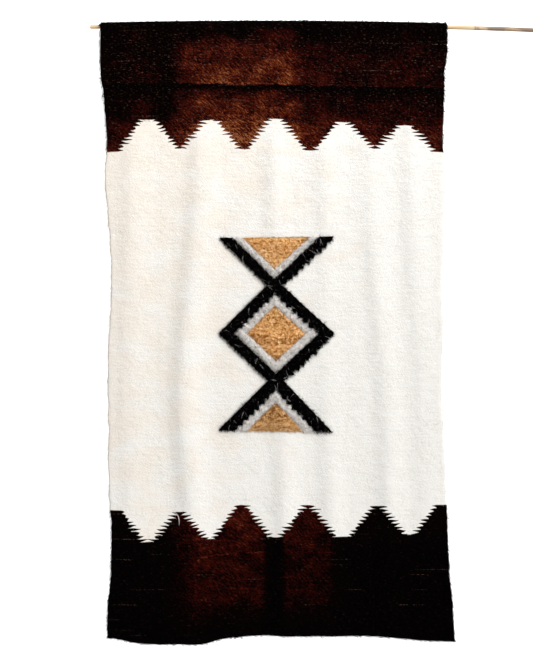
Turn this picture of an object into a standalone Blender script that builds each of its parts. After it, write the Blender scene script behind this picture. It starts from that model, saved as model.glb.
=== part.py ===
"""Alpaca rug that hangs from a bamboo cane by a sleeve at its top.

The cloth is one sheet. It runs from the hem up the front, over the cane and down a short flap behind it,
and soft upright folds run down its front. A motif of raised pile lies on the front: black strokes that make
an hourglass, a diamond and a second hourglass, with grey bands and tan fields inside them.

Metres, +Z up. The front faces -Y, and the origin is on the cane's axis at the middle of the cloth.
"""
from collections import namedtuple
from math import cos, exp, hypot, pi, sin
from random import Random

import bmesh
import bpy
import numpy as np
from mathutils.geometry import delaunay_2d_cdt

# Cane
ROD_RADIUS = 0.0055
ROD_LEFT = -0.478
ROD_LENGTH = 1.200
ROD_ARCH = 0.0281           # drop of the bent cane for each square metre of distance from its crown
ROD_CROWN = -0.031          # place of the highest point of the bend
RING_SWELL = 1.07           # radius of a node ring as a share of the cane's radius
RING_PITCH = 0.190
FIRST_RING = -0.4274
RING_PROFILE = ((-0.006, 1.0), (-0.002, 1.035), (0.0, RING_SWELL), (0.0015, 1.03), (0.006, 1.0))

# Cloth
CLOTH_THICKNESS = 0.0045
SLEEVE_GAP = 0.0005         # between the node rings and the inside of the sleeve
SLEEVE_RADIUS = ROD_RADIUS * RING_SWELL + SLEEVE_GAP + CLOTH_THICKNESS / 2
SLEEVE_DROP = 0.048         # from the cane's axis to the lower end of the flap
LAYER_GAP = 0.0004          # between the two layers at the foot of the sleeve
LAYER_OFFSET = (CLOTH_THICKNESS + LAYER_GAP) / 2
FOLD_FADE = 0.20            # height over which the folds grow below the sleeve
COLUMNS = 40

# Sections of the sheet from the hem upwards, and the rows of faces in each
Section = namedtuple("Section", "name rows")
SECTIONS = (Section("front", 32), Section("sleeve_front", 4), Section("turn", 8), Section("flap", 3))

# Selvedges: their distance from the middle, by the drop below the cane
EdgeRow = namedtuple("EdgeRow", "drop left right")
EDGE_ROWS = (
    EdgeRow(0.000, -0.4500, 0.4480),
    EdgeRow(0.045, -0.4500, 0.4498),
    EdgeRow(0.133, -0.4485, 0.4425),
    EdgeRow(0.216, -0.4394, 0.4394),
    EdgeRow(0.300, -0.4330, 0.4396),
    EdgeRow(0.378, -0.4380, 0.4405),
    EdgeRow(0.480, -0.4320, 0.4408),
    EdgeRow(0.586, -0.4245, 0.4368),
    EdgeRow(0.690, -0.4238, 0.4342),
    EdgeRow(0.794, -0.4290, 0.4392),
    EdgeRow(0.898, -0.4316, 0.4342),
    EdgeRow(1.054, -0.4290, 0.4394),
    EdgeRow(1.184, -0.4290, 0.4450),
    EdgeRow(1.313, -0.4228, 0.4498),
    EdgeRow(1.443, -0.4236, 0.4563),
    EdgeRow(1.522, -0.4318, 0.4650),
    EdgeRow(1.600, -0.4330, 0.4668),
)

# Hem: its drop below the cane across the cloth
HemRow = namedtuple("HemRow", "across drop")
HEM_ROWS = (
    HemRow(-0.432, 1.5945),
    HemRow(-0.380, 1.6042),
    HemRow(-0.328, 1.6094),
    HemRow(-0.262, 1.6092),
    HemRow(-0.192, 1.6063),
    HemRow(-0.161, 1.5977),
    HemRow(-0.099, 1.5899),
    HemRow(-0.042, 1.5860),
    HemRow(0.016, 1.5886),
    HemRow(0.146, 1.5880),
    HemRow(0.270, 1.5899),
    HemRow(0.356, 1.5982),
    HemRow(0.467, 1.6038),
)

# Upright folds: the path and the height of each ridge at the levels, and the width of its two flanks
FOLD_LEVELS = (0.15, 0.45, 0.62, 1.00, 1.22, 1.60)
Fold = namedtuple("Fold", "across height left_flank right_flank")
FOLDS = (
    Fold(
        (-0.375, -0.370, -0.374, -0.378, -0.372, -0.360),
        (0.002, 0.004, 0.004, 0.003, 0.003, 0.005),
        0.030, 0.042,
    ),
    Fold(
        (-0.195, -0.195, -0.210, -0.236, -0.218, -0.213),
        (0.003, 0.007, 0.007, 0.009, 0.009, 0.006),
        0.030, 0.046,
    ),
    Fold(
        (-0.005, 0.000, 0.005, 0.020, 0.026, 0.026),
        (0.002, 0.005, 0.002, 0.003, 0.006, 0.005),
        0.026, 0.036,
    ),
    Fold(
        (0.130, 0.133, 0.134, 0.140, 0.146, 0.146),
        (0.002, 0.004, 0.002, 0.003, 0.005, 0.004),
        0.026, 0.034,
    ),
    Fold(
        (0.250, 0.252, 0.264, 0.292, 0.296, 0.296),
        (0.002, 0.004, 0.005, 0.005, 0.006, 0.005),
        0.027, 0.038,
    ),
    Fold(
        (0.354, 0.359, 0.366, 0.388, 0.393, 0.393),
        (0.002, 0.005, 0.004, 0.002, 0.002, 0.003),
        0.026, 0.032,
    ),
)

# Motif: where the middle lines of the black strokes meet or end, as distances across and up
CORNERS = {
    "top_left": (-0.1248, -0.5543),
    "top_right": (0.1365, -0.5512),
    "upper_cross": (0.0008, -0.6778),
    "left": (-0.1243, -0.8013),
    "right": (0.1360, -0.8018),
    "lower_cross": (0.0047, -0.9248),
    "bottom_left": (-0.1251, -1.0540),
    "bottom_right": (0.1308, -1.0577),
}

# Figures of the motif: half the width of the black stroke, and the reach of the grey band from its middle
Figure = namedtuple("Figure", "stroke grey_reach")
TOP = Figure(0.0115, 0.0290)
MIDDLE = Figure(0.0128, 0.0355)
BOTTOM = Figure(0.0135, 0.0365)

# Pile
PILE_GAP = 0.0008           # between the cloth and the pile
FIELD_GAP = 0.0012          # between two fields of pile
BLACK_HEIGHT = 0.0070
FIELD_HEIGHT = 0.0050
LOCK_SPREAD = (0.6, 1.2)    # shortest and longest lock, as shares of its rim's length
PLACE_SPREAD = 0.2          # how far a lock stands from its even place, as a share of the pitch
TIP_DROOP = 0.38            # how far the end of a lock hangs down, as a share of its length
UPPER_SHARE = 0.40          # length of the locks on a side that faces up, as a share of the others
CORNER_SLOPE = 0.35         # longest lock near a corner, as a share of its distance from it
LUMP_PITCH = 0.012
RIM_MARGIN = 0.005          # between the rim and the nearest lump
RIM_SHARE = 0.40            # height at the rim as a share of the full height
LUMP_SHARE = (0.70, 1.0)
MERGE_DISTANCE = 0.000001
PROJECTION_START = -0.10    # plane in front of the cloth where the flat outlines are laid out

# Rims of the pile: the locks or waves on each side, their length, and the share of the height at their tips
Rim = namedtuple("Rim", "teeth length tip_share")
LEFT_RIM = Rim(14, 0.0026, 0.30)
RIGHT_RIM = Rim(9, 0.0070, 0.22)
INNER_RIM = Rim(8, 0.0065, 0.22)
FIELD_RIM = Rim(6, 0.0025, 0.40)


def clear_scene():
    """Remove every object of the open scene."""
    for thing in list(bpy.data.objects):
        bpy.data.objects.remove(thing, do_unlink=True)


def new_collection(name):
    """Make a collection and link it to the scene."""
    collection = bpy.data.collections.new(name)
    bpy.context.scene.collection.children.link(collection)
    return collection


def new_material(name, colour, roughness):
    """Make a material of one colour."""
    material = bpy.data.materials.new(name)
    material.use_nodes = True
    shader = material.node_tree.nodes["Principled BSDF"]
    shader.inputs["Base Color"].default_value = (*colour, 1.0)
    shader.inputs["Roughness"].default_value = roughness
    shader.inputs["Metallic"].default_value = 0.0
    material.diffuse_color = (*colour, 1.0)
    return material


def new_object(name, data, material, collection):
    """Make an object of a mesh or a curve, with its material, in a collection."""
    thing = bpy.data.objects.new(name, data)
    data.materials.append(material)
    collection.objects.link(thing)
    return thing


def mix(start, end, share):
    """Value at a share of the way from start to end."""
    return start + (end - start) * share


def ease(share):
    """Smooth step from 0 to 1."""
    share = min(max(share, 0.0), 1.0)
    return share * share * (3.0 - 2.0 * share)


def smooth_value(places, values, at):
    """Value at a place on the smooth curve through the values, flat beyond its ends."""
    at = min(max(at, places[0]), places[-1])
    slopes = np.gradient(values, places)
    k = min(int(np.searchsorted(places, at, side="right")) - 1, len(places) - 2)
    span = places[k + 1] - places[k]
    t = (at - places[k]) / span
    rest = 1.0 - t
    return float(
        values[k] * rest * rest * (1.0 + 2.0 * t)
        + values[k + 1] * t * t * (1.0 + 2.0 * rest)
        + slopes[k] * span * t * rest * rest
        - slopes[k + 1] * span * t * t * rest
    )


def column(rows, name):
    """One named column of a table."""
    return [getattr(row, name) for row in rows]


def rod_height(across):
    """Height of the bent cane's axis, which is 0 at the middle of the cloth."""
    return ROD_ARCH * (ROD_CROWN**2 - (across - ROD_CROWN) ** 2)


def selvedge(side, drop):
    """Place of the left or right selvedge at a drop."""
    return smooth_value(column(EDGE_ROWS, "drop"), column(EDGE_ROWS, side), drop)


def fold_relief(across, drop):
    """How far the folds bring the cloth forwards at a place."""
    relief = 0.0
    for fold in FOLDS:
        offset = across - smooth_value(FOLD_LEVELS, fold.across, drop)
        flank = fold.left_flank if offset < 0 else fold.right_flank
        relief += smooth_value(FOLD_LEVELS, fold.height, drop) * exp(-((offset / flank) ** 2))
    return relief * ease((drop - SLEEVE_DROP) / FOLD_FADE)


def cloth_point(share, section, rise):
    """Point of the sheet's middle surface, at a share of its width and of a section's height."""
    middle = mix(selvedge("left", 0.0), selvedge("right", 0.0), share)
    if section == "turn":
        angle = pi * rise
        return middle, -SLEEVE_RADIUS * cos(angle), rod_height(middle) + SLEEVE_RADIUS * sin(angle)
    if section == "flap":
        depth = mix(SLEEVE_RADIUS, LAYER_OFFSET, ease(rise))
        return middle, depth, rod_height(middle) - SLEEVE_DROP * rise
    hem = smooth_value(column(HEM_ROWS, "across"), column(HEM_ROWS, "drop"), middle)
    drop = SLEEVE_DROP * (1.0 - rise) if section == "sleeve_front" else mix(hem, SLEEVE_DROP, rise)
    across = mix(selvedge("left", drop), selvedge("right", drop), share)
    depth = -mix(SLEEVE_RADIUS, LAYER_OFFSET, ease(drop / SLEEVE_DROP)) - fold_relief(across, drop)
    height = rod_height(across) * (1.0 - ease(drop / hem)) - drop
    return across, depth, height


def solidify(thing, thickness, offset, group=""):
    """Give an open surface its thickness, scaled by a vertex group where one is named."""
    shell = thing.modifiers.new("thickness", "SOLIDIFY")
    shell.thickness = thickness
    shell.offset = offset
    shell.use_even_offset = not group
    shell.vertex_group = group


def build_cloth(collection):
    """The sheet: a grid laid along its sections, with its thickness."""
    rows = [
        (section.name, step / section.rows)
        for section in SECTIONS
        for step in range(0 if section is SECTIONS[0] else 1, section.rows + 1)
    ]
    mesh = bpy.data.meshes.new("rug_cloth")
    shape = bmesh.new()
    bmesh.ops.create_grid(shape, x_segments=COLUMNS, y_segments=len(rows) - 1, size=1.0)
    for vertex in shape.verts:
        section, rise = rows[round((vertex.co.y + 1.0) / 2.0 * (len(rows) - 1))]
        vertex.co = cloth_point((vertex.co.x + 1.0) / 2.0, section, rise)
    shape.to_mesh(mesh)
    shape.free()
    mesh.shade_smooth()
    cream = new_material("cream_alpaca", (0.83, 0.79, 0.70), 0.95)
    cloth = new_object("rug_cloth", mesh, cream, collection)
    solidify(cloth, CLOTH_THICKNESS, 0.0)
    return cloth


def build_rod(collection):
    """The cane: one bent tube of varying radius, with a ring at each node."""
    end = ROD_LEFT + ROD_LENGTH
    stations = [(ROD_LEFT, 1.0), (end, 1.0)]
    ring = FIRST_RING
    while ring < end - RING_PITCH / 3:
        stations += [(ring + along, swell) for along, swell in RING_PROFILE]
        stations.append((min(ring + RING_PITCH / 2, mix(ring, end, 0.5)), 1.0))
        ring += RING_PITCH
    stations.sort()
    curve = bpy.data.curves.new("hanging_rod", "CURVE")
    curve.dimensions = "3D"
    curve.bevel_depth = ROD_RADIUS
    curve.bevel_resolution = 4
    curve.use_fill_caps = True
    line = curve.splines.new("POLY")
    line.points.add(len(stations) - 1)
    for point, (across, swell) in zip(line.points, stations):
        point.co = (across, 0.0, rod_height(across), 1.0)
        point.radius = swell
    new_object("hanging_rod", curve, new_material("bamboo", (0.62, 0.43, 0.24), 0.5), collection)


def offset_corner(before, here, after, offset_in, offset_out):
    """Corner where two sides meet once each is moved to the left of its run."""
    sides = []
    for start, end, offset in ((before, here, offset_in), (here, after, offset_out)):
        run = np.subtract(end, start) / hypot(*np.subtract(end, start))
        normal = np.array((-run[1], run[0]))
        sides.append((run, np.array(start) + normal * offset))
    (run_in, start_in), (run_out, start_out) = sides
    along = np.linalg.solve(np.column_stack((run_in, -run_out)), start_out - start_in)[0]
    return start_in + run_in * along


def inset(names, offsets):
    """Corners of a closed figure with each side moved to its left, side k running from name k."""
    points = [CORNERS[name] for name in names]
    return [
        offset_corner(points[k - 1], points[k], points[(k + 1) % len(points)], offsets[k - 1], offsets[k])
        for k in range(len(points))
    ]


def toothed_side(start, end, rim, seed):
    """Points from one corner towards the next, with uneven teeth that stand to the right of the run."""
    random = Random(seed)
    run = end - start
    normal = np.array((run[1], -run[0])) / hypot(*run)
    length = rim.length * (UPPER_SHARE if normal[1] > 0 else 1.0)
    points = [(start, RIM_SHARE)]
    for tooth in range(rim.teeth):
        place = (tooth + 0.5 + random.uniform(-PLACE_SPREAD, PLACE_SPREAD)) / rim.teeth
        from_corner = min(place, 1.0 - place) * hypot(*run)
        reach = min(length * random.uniform(*LOCK_SPREAD), from_corner * CORNER_SLOPE)
        tip = start + run * place + normal * reach
        tip[1] -= TIP_DROOP * reach
        points.append((tip, rim.tip_share))
        if tooth < rim.teeth - 1:
            points.append((start + run * (tooth + 1) / rim.teeth, RIM_SHARE))
    return points


def inside(point, outline):
    """Whether a point lies inside an outline."""
    found = False
    for (ax, ay), (bx, by) in zip(outline, outline[1:] + outline[:1]):
        if (ay > point[1]) != (by > point[1]) and point[0] < (bx - ax) * (point[1] - ay) / (by - ay) + ax:
            found = not found
    return found


def rim_distance(point, outlines):
    """Distance from a point to the nearest rim point or side of the outlines."""
    nearest = 1.0
    for outline in outlines:
        for start, end in zip(outline, outline[1:] + outline[:1]):
            run = np.subtract(end, start)
            share = min(max(np.dot(np.subtract(point, start), run) / np.dot(run, run), 0.0), 1.0)
            nearest = min(nearest, hypot(*(np.subtract(point, start) - run * share)))
    return nearest


def split_long_sides(rim):
    """The same rim with points along its long straight sides, so that it can follow the folds."""
    points = []
    for (start, share), (end, _) in zip(rim, rim[1:] + rim[:1]):
        parts = max(1, round(hypot(*(end - start)) / LUMP_PITCH))
        points.append((start, share))
        points += [(mix(start, end, part / parts), RIM_SHARE) for part in range(1, parts)]
    return points


def build_pile(name, rims, height, material, cloth, collection):
    """A lumpy slab of pile on the cloth, from its rim and any inner rim, which all run anticlockwise."""
    rims = [split_long_sides(rim) for rim in rims]
    outlines = [[tuple(point) for point, _ in rim] for rim in rims]
    places = [point for outline in outlines for point in outline]
    shares = [share for rim in rims for _, share in rim]
    loops = []
    for outline in outlines:
        first = sum(len(loop) for loop in loops)
        loops.append(list(range(first, first + len(outline))))
    random = Random(name)
    low, high = np.min(places, axis=0), np.max(places, axis=0)
    for row, up in enumerate(np.arange(low[1], high[1], LUMP_PITCH)):
        for across in np.arange(low[0] + (row % 2) * LUMP_PITCH / 2, high[0], LUMP_PITCH):
            point = (across, up)
            held = inside(point, outlines[0]) and not any(inside(point, hole) for hole in outlines[1:])
            if held and rim_distance(point, outlines) > RIM_MARGIN:
                places.append(point)
                shares.append(random.uniform(*LUMP_SHARE))
    points, _, faces, sources, _, kept = delaunay_2d_cdt(places, [], loops, 0, MERGE_DISTANCE)
    mesh = bpy.data.meshes.new(name)
    mesh.from_pydata(
        [(x, PROJECTION_START, z) for x, z in points],
        [],
        [face for face, loops_round_it in zip(faces, kept) if loops_round_it == [0]],
    )
    mesh.shade_smooth()
    pile = new_object(name, mesh, material, collection)
    group = pile.vertex_groups.new(name="pile")
    for index, source in enumerate(sources):
        group.add([index], shares[source[0]], "REPLACE")
    lay = pile.modifiers.new("lay_on_cloth", "SHRINKWRAP")
    lay.target = cloth
    lay.wrap_method = "PROJECT"
    lay.use_project_y = True
    lay.use_positive_direction = True
    lay.offset = PILE_GAP
    solidify(pile, height, 1.0, group.name)


def chain(corners, rim, seed, closed=False):
    """Toothed line through corners. An open one ends on its last corner."""
    ends = corners[1:] + corners[:1] if closed else corners[1:]
    points = []
    for k, (start, end) in enumerate(zip(corners, ends)):
        points += toothed_side(start, end, rim, f"{seed} {k}")
    return points if closed else points + [(corners[-1], RIM_SHARE)]


def turned(points):
    """The same line, run the other way."""
    return points[::-1]


def black_rims():
    """Outer rim of the black strokes, and the rim of the diamond inside them."""
    left = inset(
        ("top_right", "top_left", "upper_cross", "left", "lower_cross", "bottom_left", "bottom_right"),
        (0.0, -TOP.stroke, -MIDDLE.stroke, -MIDDLE.stroke, -BOTTOM.stroke, 0.0, 0.0),
    )[1:6]
    right = inset(
        ("bottom_left", "bottom_right", "lower_cross", "right", "upper_cross", "top_right", "top_left"),
        (0.0, -BOTTOM.stroke, -MIDDLE.stroke, -MIDDLE.stroke, -TOP.stroke, 0.0, 0.0),
    )[1:6]
    outer = (
        chain(left, LEFT_RIM, "left")
        + turned(v_line("bottom", BOTTOM.stroke, INNER_RIM))
        + chain(right, RIGHT_RIM, "right")
        + turned(v_line("top", TOP.stroke, INNER_RIM))
    )
    return [outer, diamond(MIDDLE.stroke, INNER_RIM)]


def v_line(end, offset, rim):
    """Line inside an hourglass half at an offset from the strokes, with its teeth towards the field."""
    names = {
        "top": ("top_right", "upper_cross", "top_left"),
        "bottom": ("bottom_left", "lower_cross", "bottom_right"),
    }[end]
    corners = inset(names, (-offset, -offset, 0.0))
    return turned(chain(corners, rim, f"{end} {rim.teeth}"))


def diamond(offset, rim):
    """Closed line inside the diamond at an offset from the strokes, with its teeth towards the middle."""
    corners = inset(("upper_cross", "right", "lower_cross", "left"), (-offset,) * 4)
    return turned(chain(corners, rim, f"middle {rim.teeth}", closed=True))


def build_motif(cloth, collection):
    """The pile: black strokes, and a grey band and a tan field in each figure."""
    black = new_material("black_alpaca", (0.012, 0.011, 0.012), 0.9)
    grey = new_material("grey_alpaca", (0.40, 0.39, 0.39), 0.95)
    tan = new_material("tan_alpaca", (0.55, 0.33, 0.15), 0.95)
    build_pile("black_pile", black_rims(), BLACK_HEIGHT, black, cloth, collection)
    for end, figure in (("top", TOP), ("bottom", BOTTOM)):
        outer = v_line(end, figure.stroke + FIELD_GAP, INNER_RIM)
        seam = v_line(end, figure.grey_reach, FIELD_RIM)
        field = v_line(end, figure.grey_reach + FIELD_GAP, FIELD_RIM)
        build_pile(f"grey_pile_{end}", [outer + turned(seam)], FIELD_HEIGHT, grey, cloth, collection)
        build_pile(f"tan_pile_{end}", [field], FIELD_HEIGHT, tan, cloth, collection)
    ring = diamond(MIDDLE.stroke + FIELD_GAP, INNER_RIM)
    seam = diamond(MIDDLE.grey_reach, FIELD_RIM)
    field = diamond(MIDDLE.grey_reach + FIELD_GAP, FIELD_RIM)
    build_pile("grey_pile_middle", [ring, seam], FIELD_HEIGHT, grey, cloth, collection)
    build_pile("tan_pile_middle", [field], FIELD_HEIGHT, tan, cloth, collection)


def main():
    clear_scene()
    collection = new_collection("alpaca_rug")
    cloth = build_cloth(collection)
    build_rod(collection)
    build_motif(cloth, collection)


main()
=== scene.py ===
"""Looks of the alpaca rug: the brushed cloth and its nap, the raised pile motif and the bamboo cane."""

from __future__ import annotations

import logging
import math
from collections.abc import Mapping, Sequence
from dataclasses import dataclass
from enum import Enum

import bmesh
import bpy
import numpy as np
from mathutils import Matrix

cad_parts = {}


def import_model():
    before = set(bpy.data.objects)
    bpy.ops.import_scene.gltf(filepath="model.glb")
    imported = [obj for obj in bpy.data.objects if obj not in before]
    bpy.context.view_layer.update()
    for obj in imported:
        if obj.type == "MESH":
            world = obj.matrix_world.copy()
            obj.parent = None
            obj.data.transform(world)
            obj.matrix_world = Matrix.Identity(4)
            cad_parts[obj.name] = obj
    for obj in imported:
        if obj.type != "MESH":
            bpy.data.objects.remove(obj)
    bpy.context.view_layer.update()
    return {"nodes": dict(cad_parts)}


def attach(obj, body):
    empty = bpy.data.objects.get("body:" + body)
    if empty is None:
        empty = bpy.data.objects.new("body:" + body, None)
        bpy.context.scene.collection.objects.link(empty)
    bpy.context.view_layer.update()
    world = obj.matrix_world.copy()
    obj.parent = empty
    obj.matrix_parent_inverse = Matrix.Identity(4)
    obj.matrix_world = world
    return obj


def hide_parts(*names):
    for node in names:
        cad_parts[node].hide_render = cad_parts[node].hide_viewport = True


LOG = logging.getLogger("alpaca_rug")
BODY = "root"
Colour = tuple[float, float, float]
Table = tuple[tuple[float, float], ...]
Ramp = tuple[tuple[float, Colour], ...]
Reading = np.ndarray | float
Node = bpy.types.Node
NodeTree = bpy.types.NodeTree
Socket = bpy.types.NodeSocket
Thing = bpy.types.Object
Mesh = bpy.types.Mesh
Material = bpy.types.Material


class Wire:
    """A number on a socket of a node tree. Python's operators on it add Math nodes."""

    def __init__(self, tree: Tree, socket: Socket) -> None:
        """Keep the tree and the socket."""
        self.tree = tree
        self.socket = socket

    def _maths(self, operation: str, *values: Number) -> Wire:
        """Add a Math node that reads the values."""
        node = self.tree.add("ShaderNodeMath", {"operation": operation}, dict(enumerate(values)))
        return Wire(self.tree, node.outputs[0])

    def __add__(self, other: Number) -> Wire:
        """Sum of two numbers."""
        return self._maths("ADD", self, other)

    def __radd__(self, other: float) -> Wire:
        """Sum that starts with a plain number."""
        return self._maths("ADD", other, self)

    def __sub__(self, other: Number) -> Wire:
        """Difference of two numbers."""
        return self._maths("SUBTRACT", self, other)

    def __rsub__(self, other: float) -> Wire:
        """Difference that starts with a plain number."""
        return self._maths("SUBTRACT", other, self)

    def __mul__(self, other: Number) -> Wire:
        """Product of two numbers."""
        return self._maths("MULTIPLY", self, other)

    def __rmul__(self, other: float) -> Wire:
        """Product that starts with a plain number."""
        return self._maths("MULTIPLY", other, self)

    def __truediv__(self, other: Number) -> Wire:
        """Quotient of two numbers."""
        return self._maths("DIVIDE", self, other)

    def __rtruediv__(self, other: float) -> Wire:
        """Quotient that starts with a plain number."""
        return self._maths("DIVIDE", other, self)

    def lowest(self, other: Number) -> Wire:
        """The lower of two numbers."""
        return self._maths("MINIMUM", self, other)

    def highest(self, other: Number) -> Wire:
        """The higher of two numbers."""
        return self._maths("MAXIMUM", self, other)

    def below(self, limit: Number) -> Wire:
        """1 where the number is below a limit, else 0."""
        return self._maths("LESS_THAN", self, limit)

    def above(self, limit: Number) -> Wire:
        """1 where the number is above a limit, else 0."""
        return self._maths("GREATER_THAN", self, limit)

    def size(self) -> Wire:
        """The number without its sign."""
        return self._maths("ABSOLUTE", self)

    def rounded(self) -> Wire:
        """The nearest whole number."""
        return self._maths("ROUND", self)

    def swing(self) -> Wire:
        """A wave with straight sides: 1 at each whole number and 0 half-way between two."""
        return 1.0 - 2.0 * self._maths("PINGPONG", self, 0.5)

    def ripple(self, pitch: float) -> Wire:
        """A round wave from -1 to 1 that repeats after the pitch."""
        return self._maths("SINE", self * (math.tau / pitch))

    def step(self, low: float, high: float) -> Wire:
        """Rise softly from 0 to 1.

        Args:
            low: The value up to which the result is 0.
            high: The value from which it is 1.

        Returns:
            The share.
        """
        settings = {"interpolation_type": "SMOOTHSTEP", "clamp": True}
        inputs = {"Value": self, "From Min": low, "From Max": high}
        return Wire(self.tree, self.tree.add("ShaderNodeMapRange", settings, inputs).outputs[0])

    def along(self, table: Table) -> Wire:
        """Read a table of places and values, with straight runs between its rows.

        Args:
            table: The rows, each a place and its value, by rising place.

        Returns:
            The value at the place that this wire gives.
        """
        places, values = np.array(table).T
        low, high = values.min(), values.max()
        stops = [((p - places[0]) / (places[-1] - places[0]), (v - low) / (high - low)) for p, v in table]
        share = (self - float(places[0])) / float(places[-1] - places[0])
        node = self.tree.add("ShaderNodeFloatCurve", {"curve": stops}, {"Value": share})
        return Wire(self.tree, node.outputs[0]) * float(high - low) + float(low)


Number = Wire | float
Input = Number | Socket | bool | Sequence[float] | bpy.types.ID


class Tree:
    """A node tree of a material or of Geometry Nodes, written line by line."""

    def __init__(self, tree: NodeTree) -> None:
        """Keep Blender's tree."""
        self.tree = tree

    def add(self, kind: str, settings: Mapping | None = None, inputs: Mapping | None = None) -> Node:
        """Add a node.

        Args:
            kind: The node's type.
            settings: What is set first, such as an operation, a ramp's stops or a curve.
            inputs: The values or links of its sockets, by name or number.

        Returns:
            The new node.
        """
        node = self.tree.nodes.new(kind)
        for name, value in (settings or {}).items():
            if name == "stops":
                ramp = node.color_ramp
                while len(ramp.elements) < len(value):
                    ramp.elements.new(0.5)
                for element, (place, colour) in zip(ramp.elements, value):
                    element.position = place
                    element.color = (*colour, 1.0)
            elif name == "curve":
                curve = node.mapping.curves[0]
                while len(curve.points) < len(value):
                    curve.points.new(0.5, 0.5)
                for point, place in zip(curve.points, value):
                    point.location = place
                    point.handle_type = "VECTOR"
                node.mapping.update()
            else:
                setattr(node, name, value)
        for name, value in (inputs or {}).items():
            self.feed(node.inputs[name], value)
        return node

    def feed(self, socket: Socket, value: Input) -> None:
        """Link a socket to a wire or another socket, or give it a value.

        Args:
            socket: The socket that is fed.
            value: What feeds it.
        """
        if isinstance(value, Wire):
            value = value.socket
        if isinstance(value, Socket):
            self.tree.links.new(value, socket)
        elif socket.type == "RGBA" and len(value) == 3:
            socket.default_value = (*value, 1.0)
        else:
            socket.default_value = value

    def wire(self, node: Node, output: str | int = 0) -> Wire:
        """One output of a node as a number."""
        return Wire(self, node.outputs[output])

    def parts(self, vector: Socket) -> list[Wire]:
        """The three numbers of a vector."""
        node = self.add("ShaderNodeSeparateXYZ", inputs={0: vector})
        return [self.wire(node, k) for k in range(3)]

    def point(self, x: Number, y: Number, z: Number = 0.0) -> Socket:
        """A vector of three numbers."""
        return self.add("ShaderNodeCombineXYZ", inputs={0: x, 1: y, 2: z}).outputs[0]

    def vector(self, operation: str, *values: Input, scale: Number | None = None) -> Socket:
        """Work out a vector with a Vector Math node.

        Args:
            operation: What the node does.
            values: The vectors that it reads.
            scale: The number that it scales them by, where it does.

        Returns:
            The vector.
        """
        inputs = dict(enumerate(values))
        if scale is not None:
            inputs[3] = scale
        return self.add("ShaderNodeVectorMath", {"operation": operation}, inputs).outputs[0]

    def blend(self, share: Number, first: Input, second: Input) -> Socket:
        """Mix two colours by a share of the second."""
        settings = {"data_type": "RGBA", "clamp_factor": True}
        return self.add("ShaderNodeMix", settings, {0: share, 6: first, 7: second}).outputs[2]

    def noise(self, x: Number, y: Number, z: Number = 0.0, detail: float = 2.0) -> Wire:
        """Soft noise around 0.5 at a place whose numbers are already in units of its grain."""
        inputs = {"Vector": self.point(x, y, z), "Scale": 1.0, "Detail": detail}
        return self.wire(self.add("ShaderNodeTexNoise", inputs=inputs))

    def attribute(self, name: str) -> Node:
        """A value stored on the mesh."""
        return self.add("ShaderNodeAttribute", {"attribute_name": name})


def new_material(name: str, roughness: float, specular: float) -> tuple[Material, Tree, Node]:
    """Make a material and set what is the same all over it.

    Args:
        name: The material's name.
        roughness: How rough it is.
        specular: How much it shines.

    Returns:
        The material, its tree and its shader.
    """
    material = bpy.data.materials.new(name)
    material.use_nodes = True
    shader = material.node_tree.nodes["Principled BSDF"]
    shader.inputs["Roughness"].default_value = roughness
    shader.inputs["Specular IOR Level"].default_value = specular
    return material, Tree(material.node_tree), shader


@dataclass(frozen=True)
class Surface:
    """What every finish shares: a name, the record's slot and the settings of its shader."""

    name: str
    slot: str
    roughness: float = 0.95
    specular: float = 0.08

    def material(self) -> Material:
        """Make the material and dress it.

        Returns:
            The finished material.
        """
        material, tree, shader = new_material(self.name, self.roughness, self.specular)
        self.dress(tree, shader)
        return material

    def dress(self, tree: Tree, shader: Node) -> None:
        """Build the colour and the bump of the finish.

        Args:
            tree: The material's tree.
            shader: The shader that they feed.
        """
        raise NotImplementedError


@dataclass(frozen=True)
class Zigzag:
    """Edge between a dark end of the cloth and its cream ground, with a dark finger at each row of the weave.

    Each turn is a place across, the drop below the cane where its two flanks would meet, and the drop of the
    flat row that ends it before that. Dark tips and cream tips take turns. A side of 1 has the dark end above
    the edge, and one of -1 has it below.
    """

    turns: tuple[tuple[float, float, float], ...]
    side: float
    pitch: float = 0.0100
    reach: float = 0.0106
    slant: float = 0.10
    phase: float = 0.30
    unevenness: float = 0.6
    bluntness: float = 1.3
    shortest: float = 0.3
    fray: float = 0.004
    softness: float = 0.0007

    def darkness(self, tree: Tree, across: Wire, drop: Wire) -> Wire:
        """1 on the dark side of the fingered edge and 0 on the cream side.

        Args:
            tree: The material's tree.
            across: The place across the cloth.
            drop: The length of cloth below the cane.

        Returns:
            The mask.
        """
        edge = across.along(tuple((place, level) for place, level, _ in self.turns))
        dark_tip = across.along(tuple((place, flat) for place, _, flat in self.turns[0::2]))
        cream_tip = across.along(tuple((place, flat) for place, _, flat in self.turns[1::2]))
        wobble = (tree.noise(across * 45.0, drop * 70.0, self.side, 1.0) - 0.5) * self.unevenness
        lean = (edge - dark_tip) * self.slant
        row = (drop - dark_tip + lean) * (self.side / self.pitch) + self.phase + wobble
        length = tree.noise(across * 12.0, row.rounded() * 5.3, self.side + 3.0, 0.0) * 3.0 - 0.5
        wave = ((row.swing() - 0.5) * self.bluntness).highest(-0.5).lowest(0.5)
        finger = wave * length.highest(self.shortest)
        fray = (tree.noise(across * 500.0, drop * 800.0, 7.0, 1.0) - 0.5) * self.fray
        flank = (edge - drop) * self.side + finger * (2.0 * self.reach)
        inside = flank.highest((cream_tip - drop) * self.side).lowest((dark_tip - drop) * self.side) + fray
        return inside.step(-self.softness, self.softness)


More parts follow.
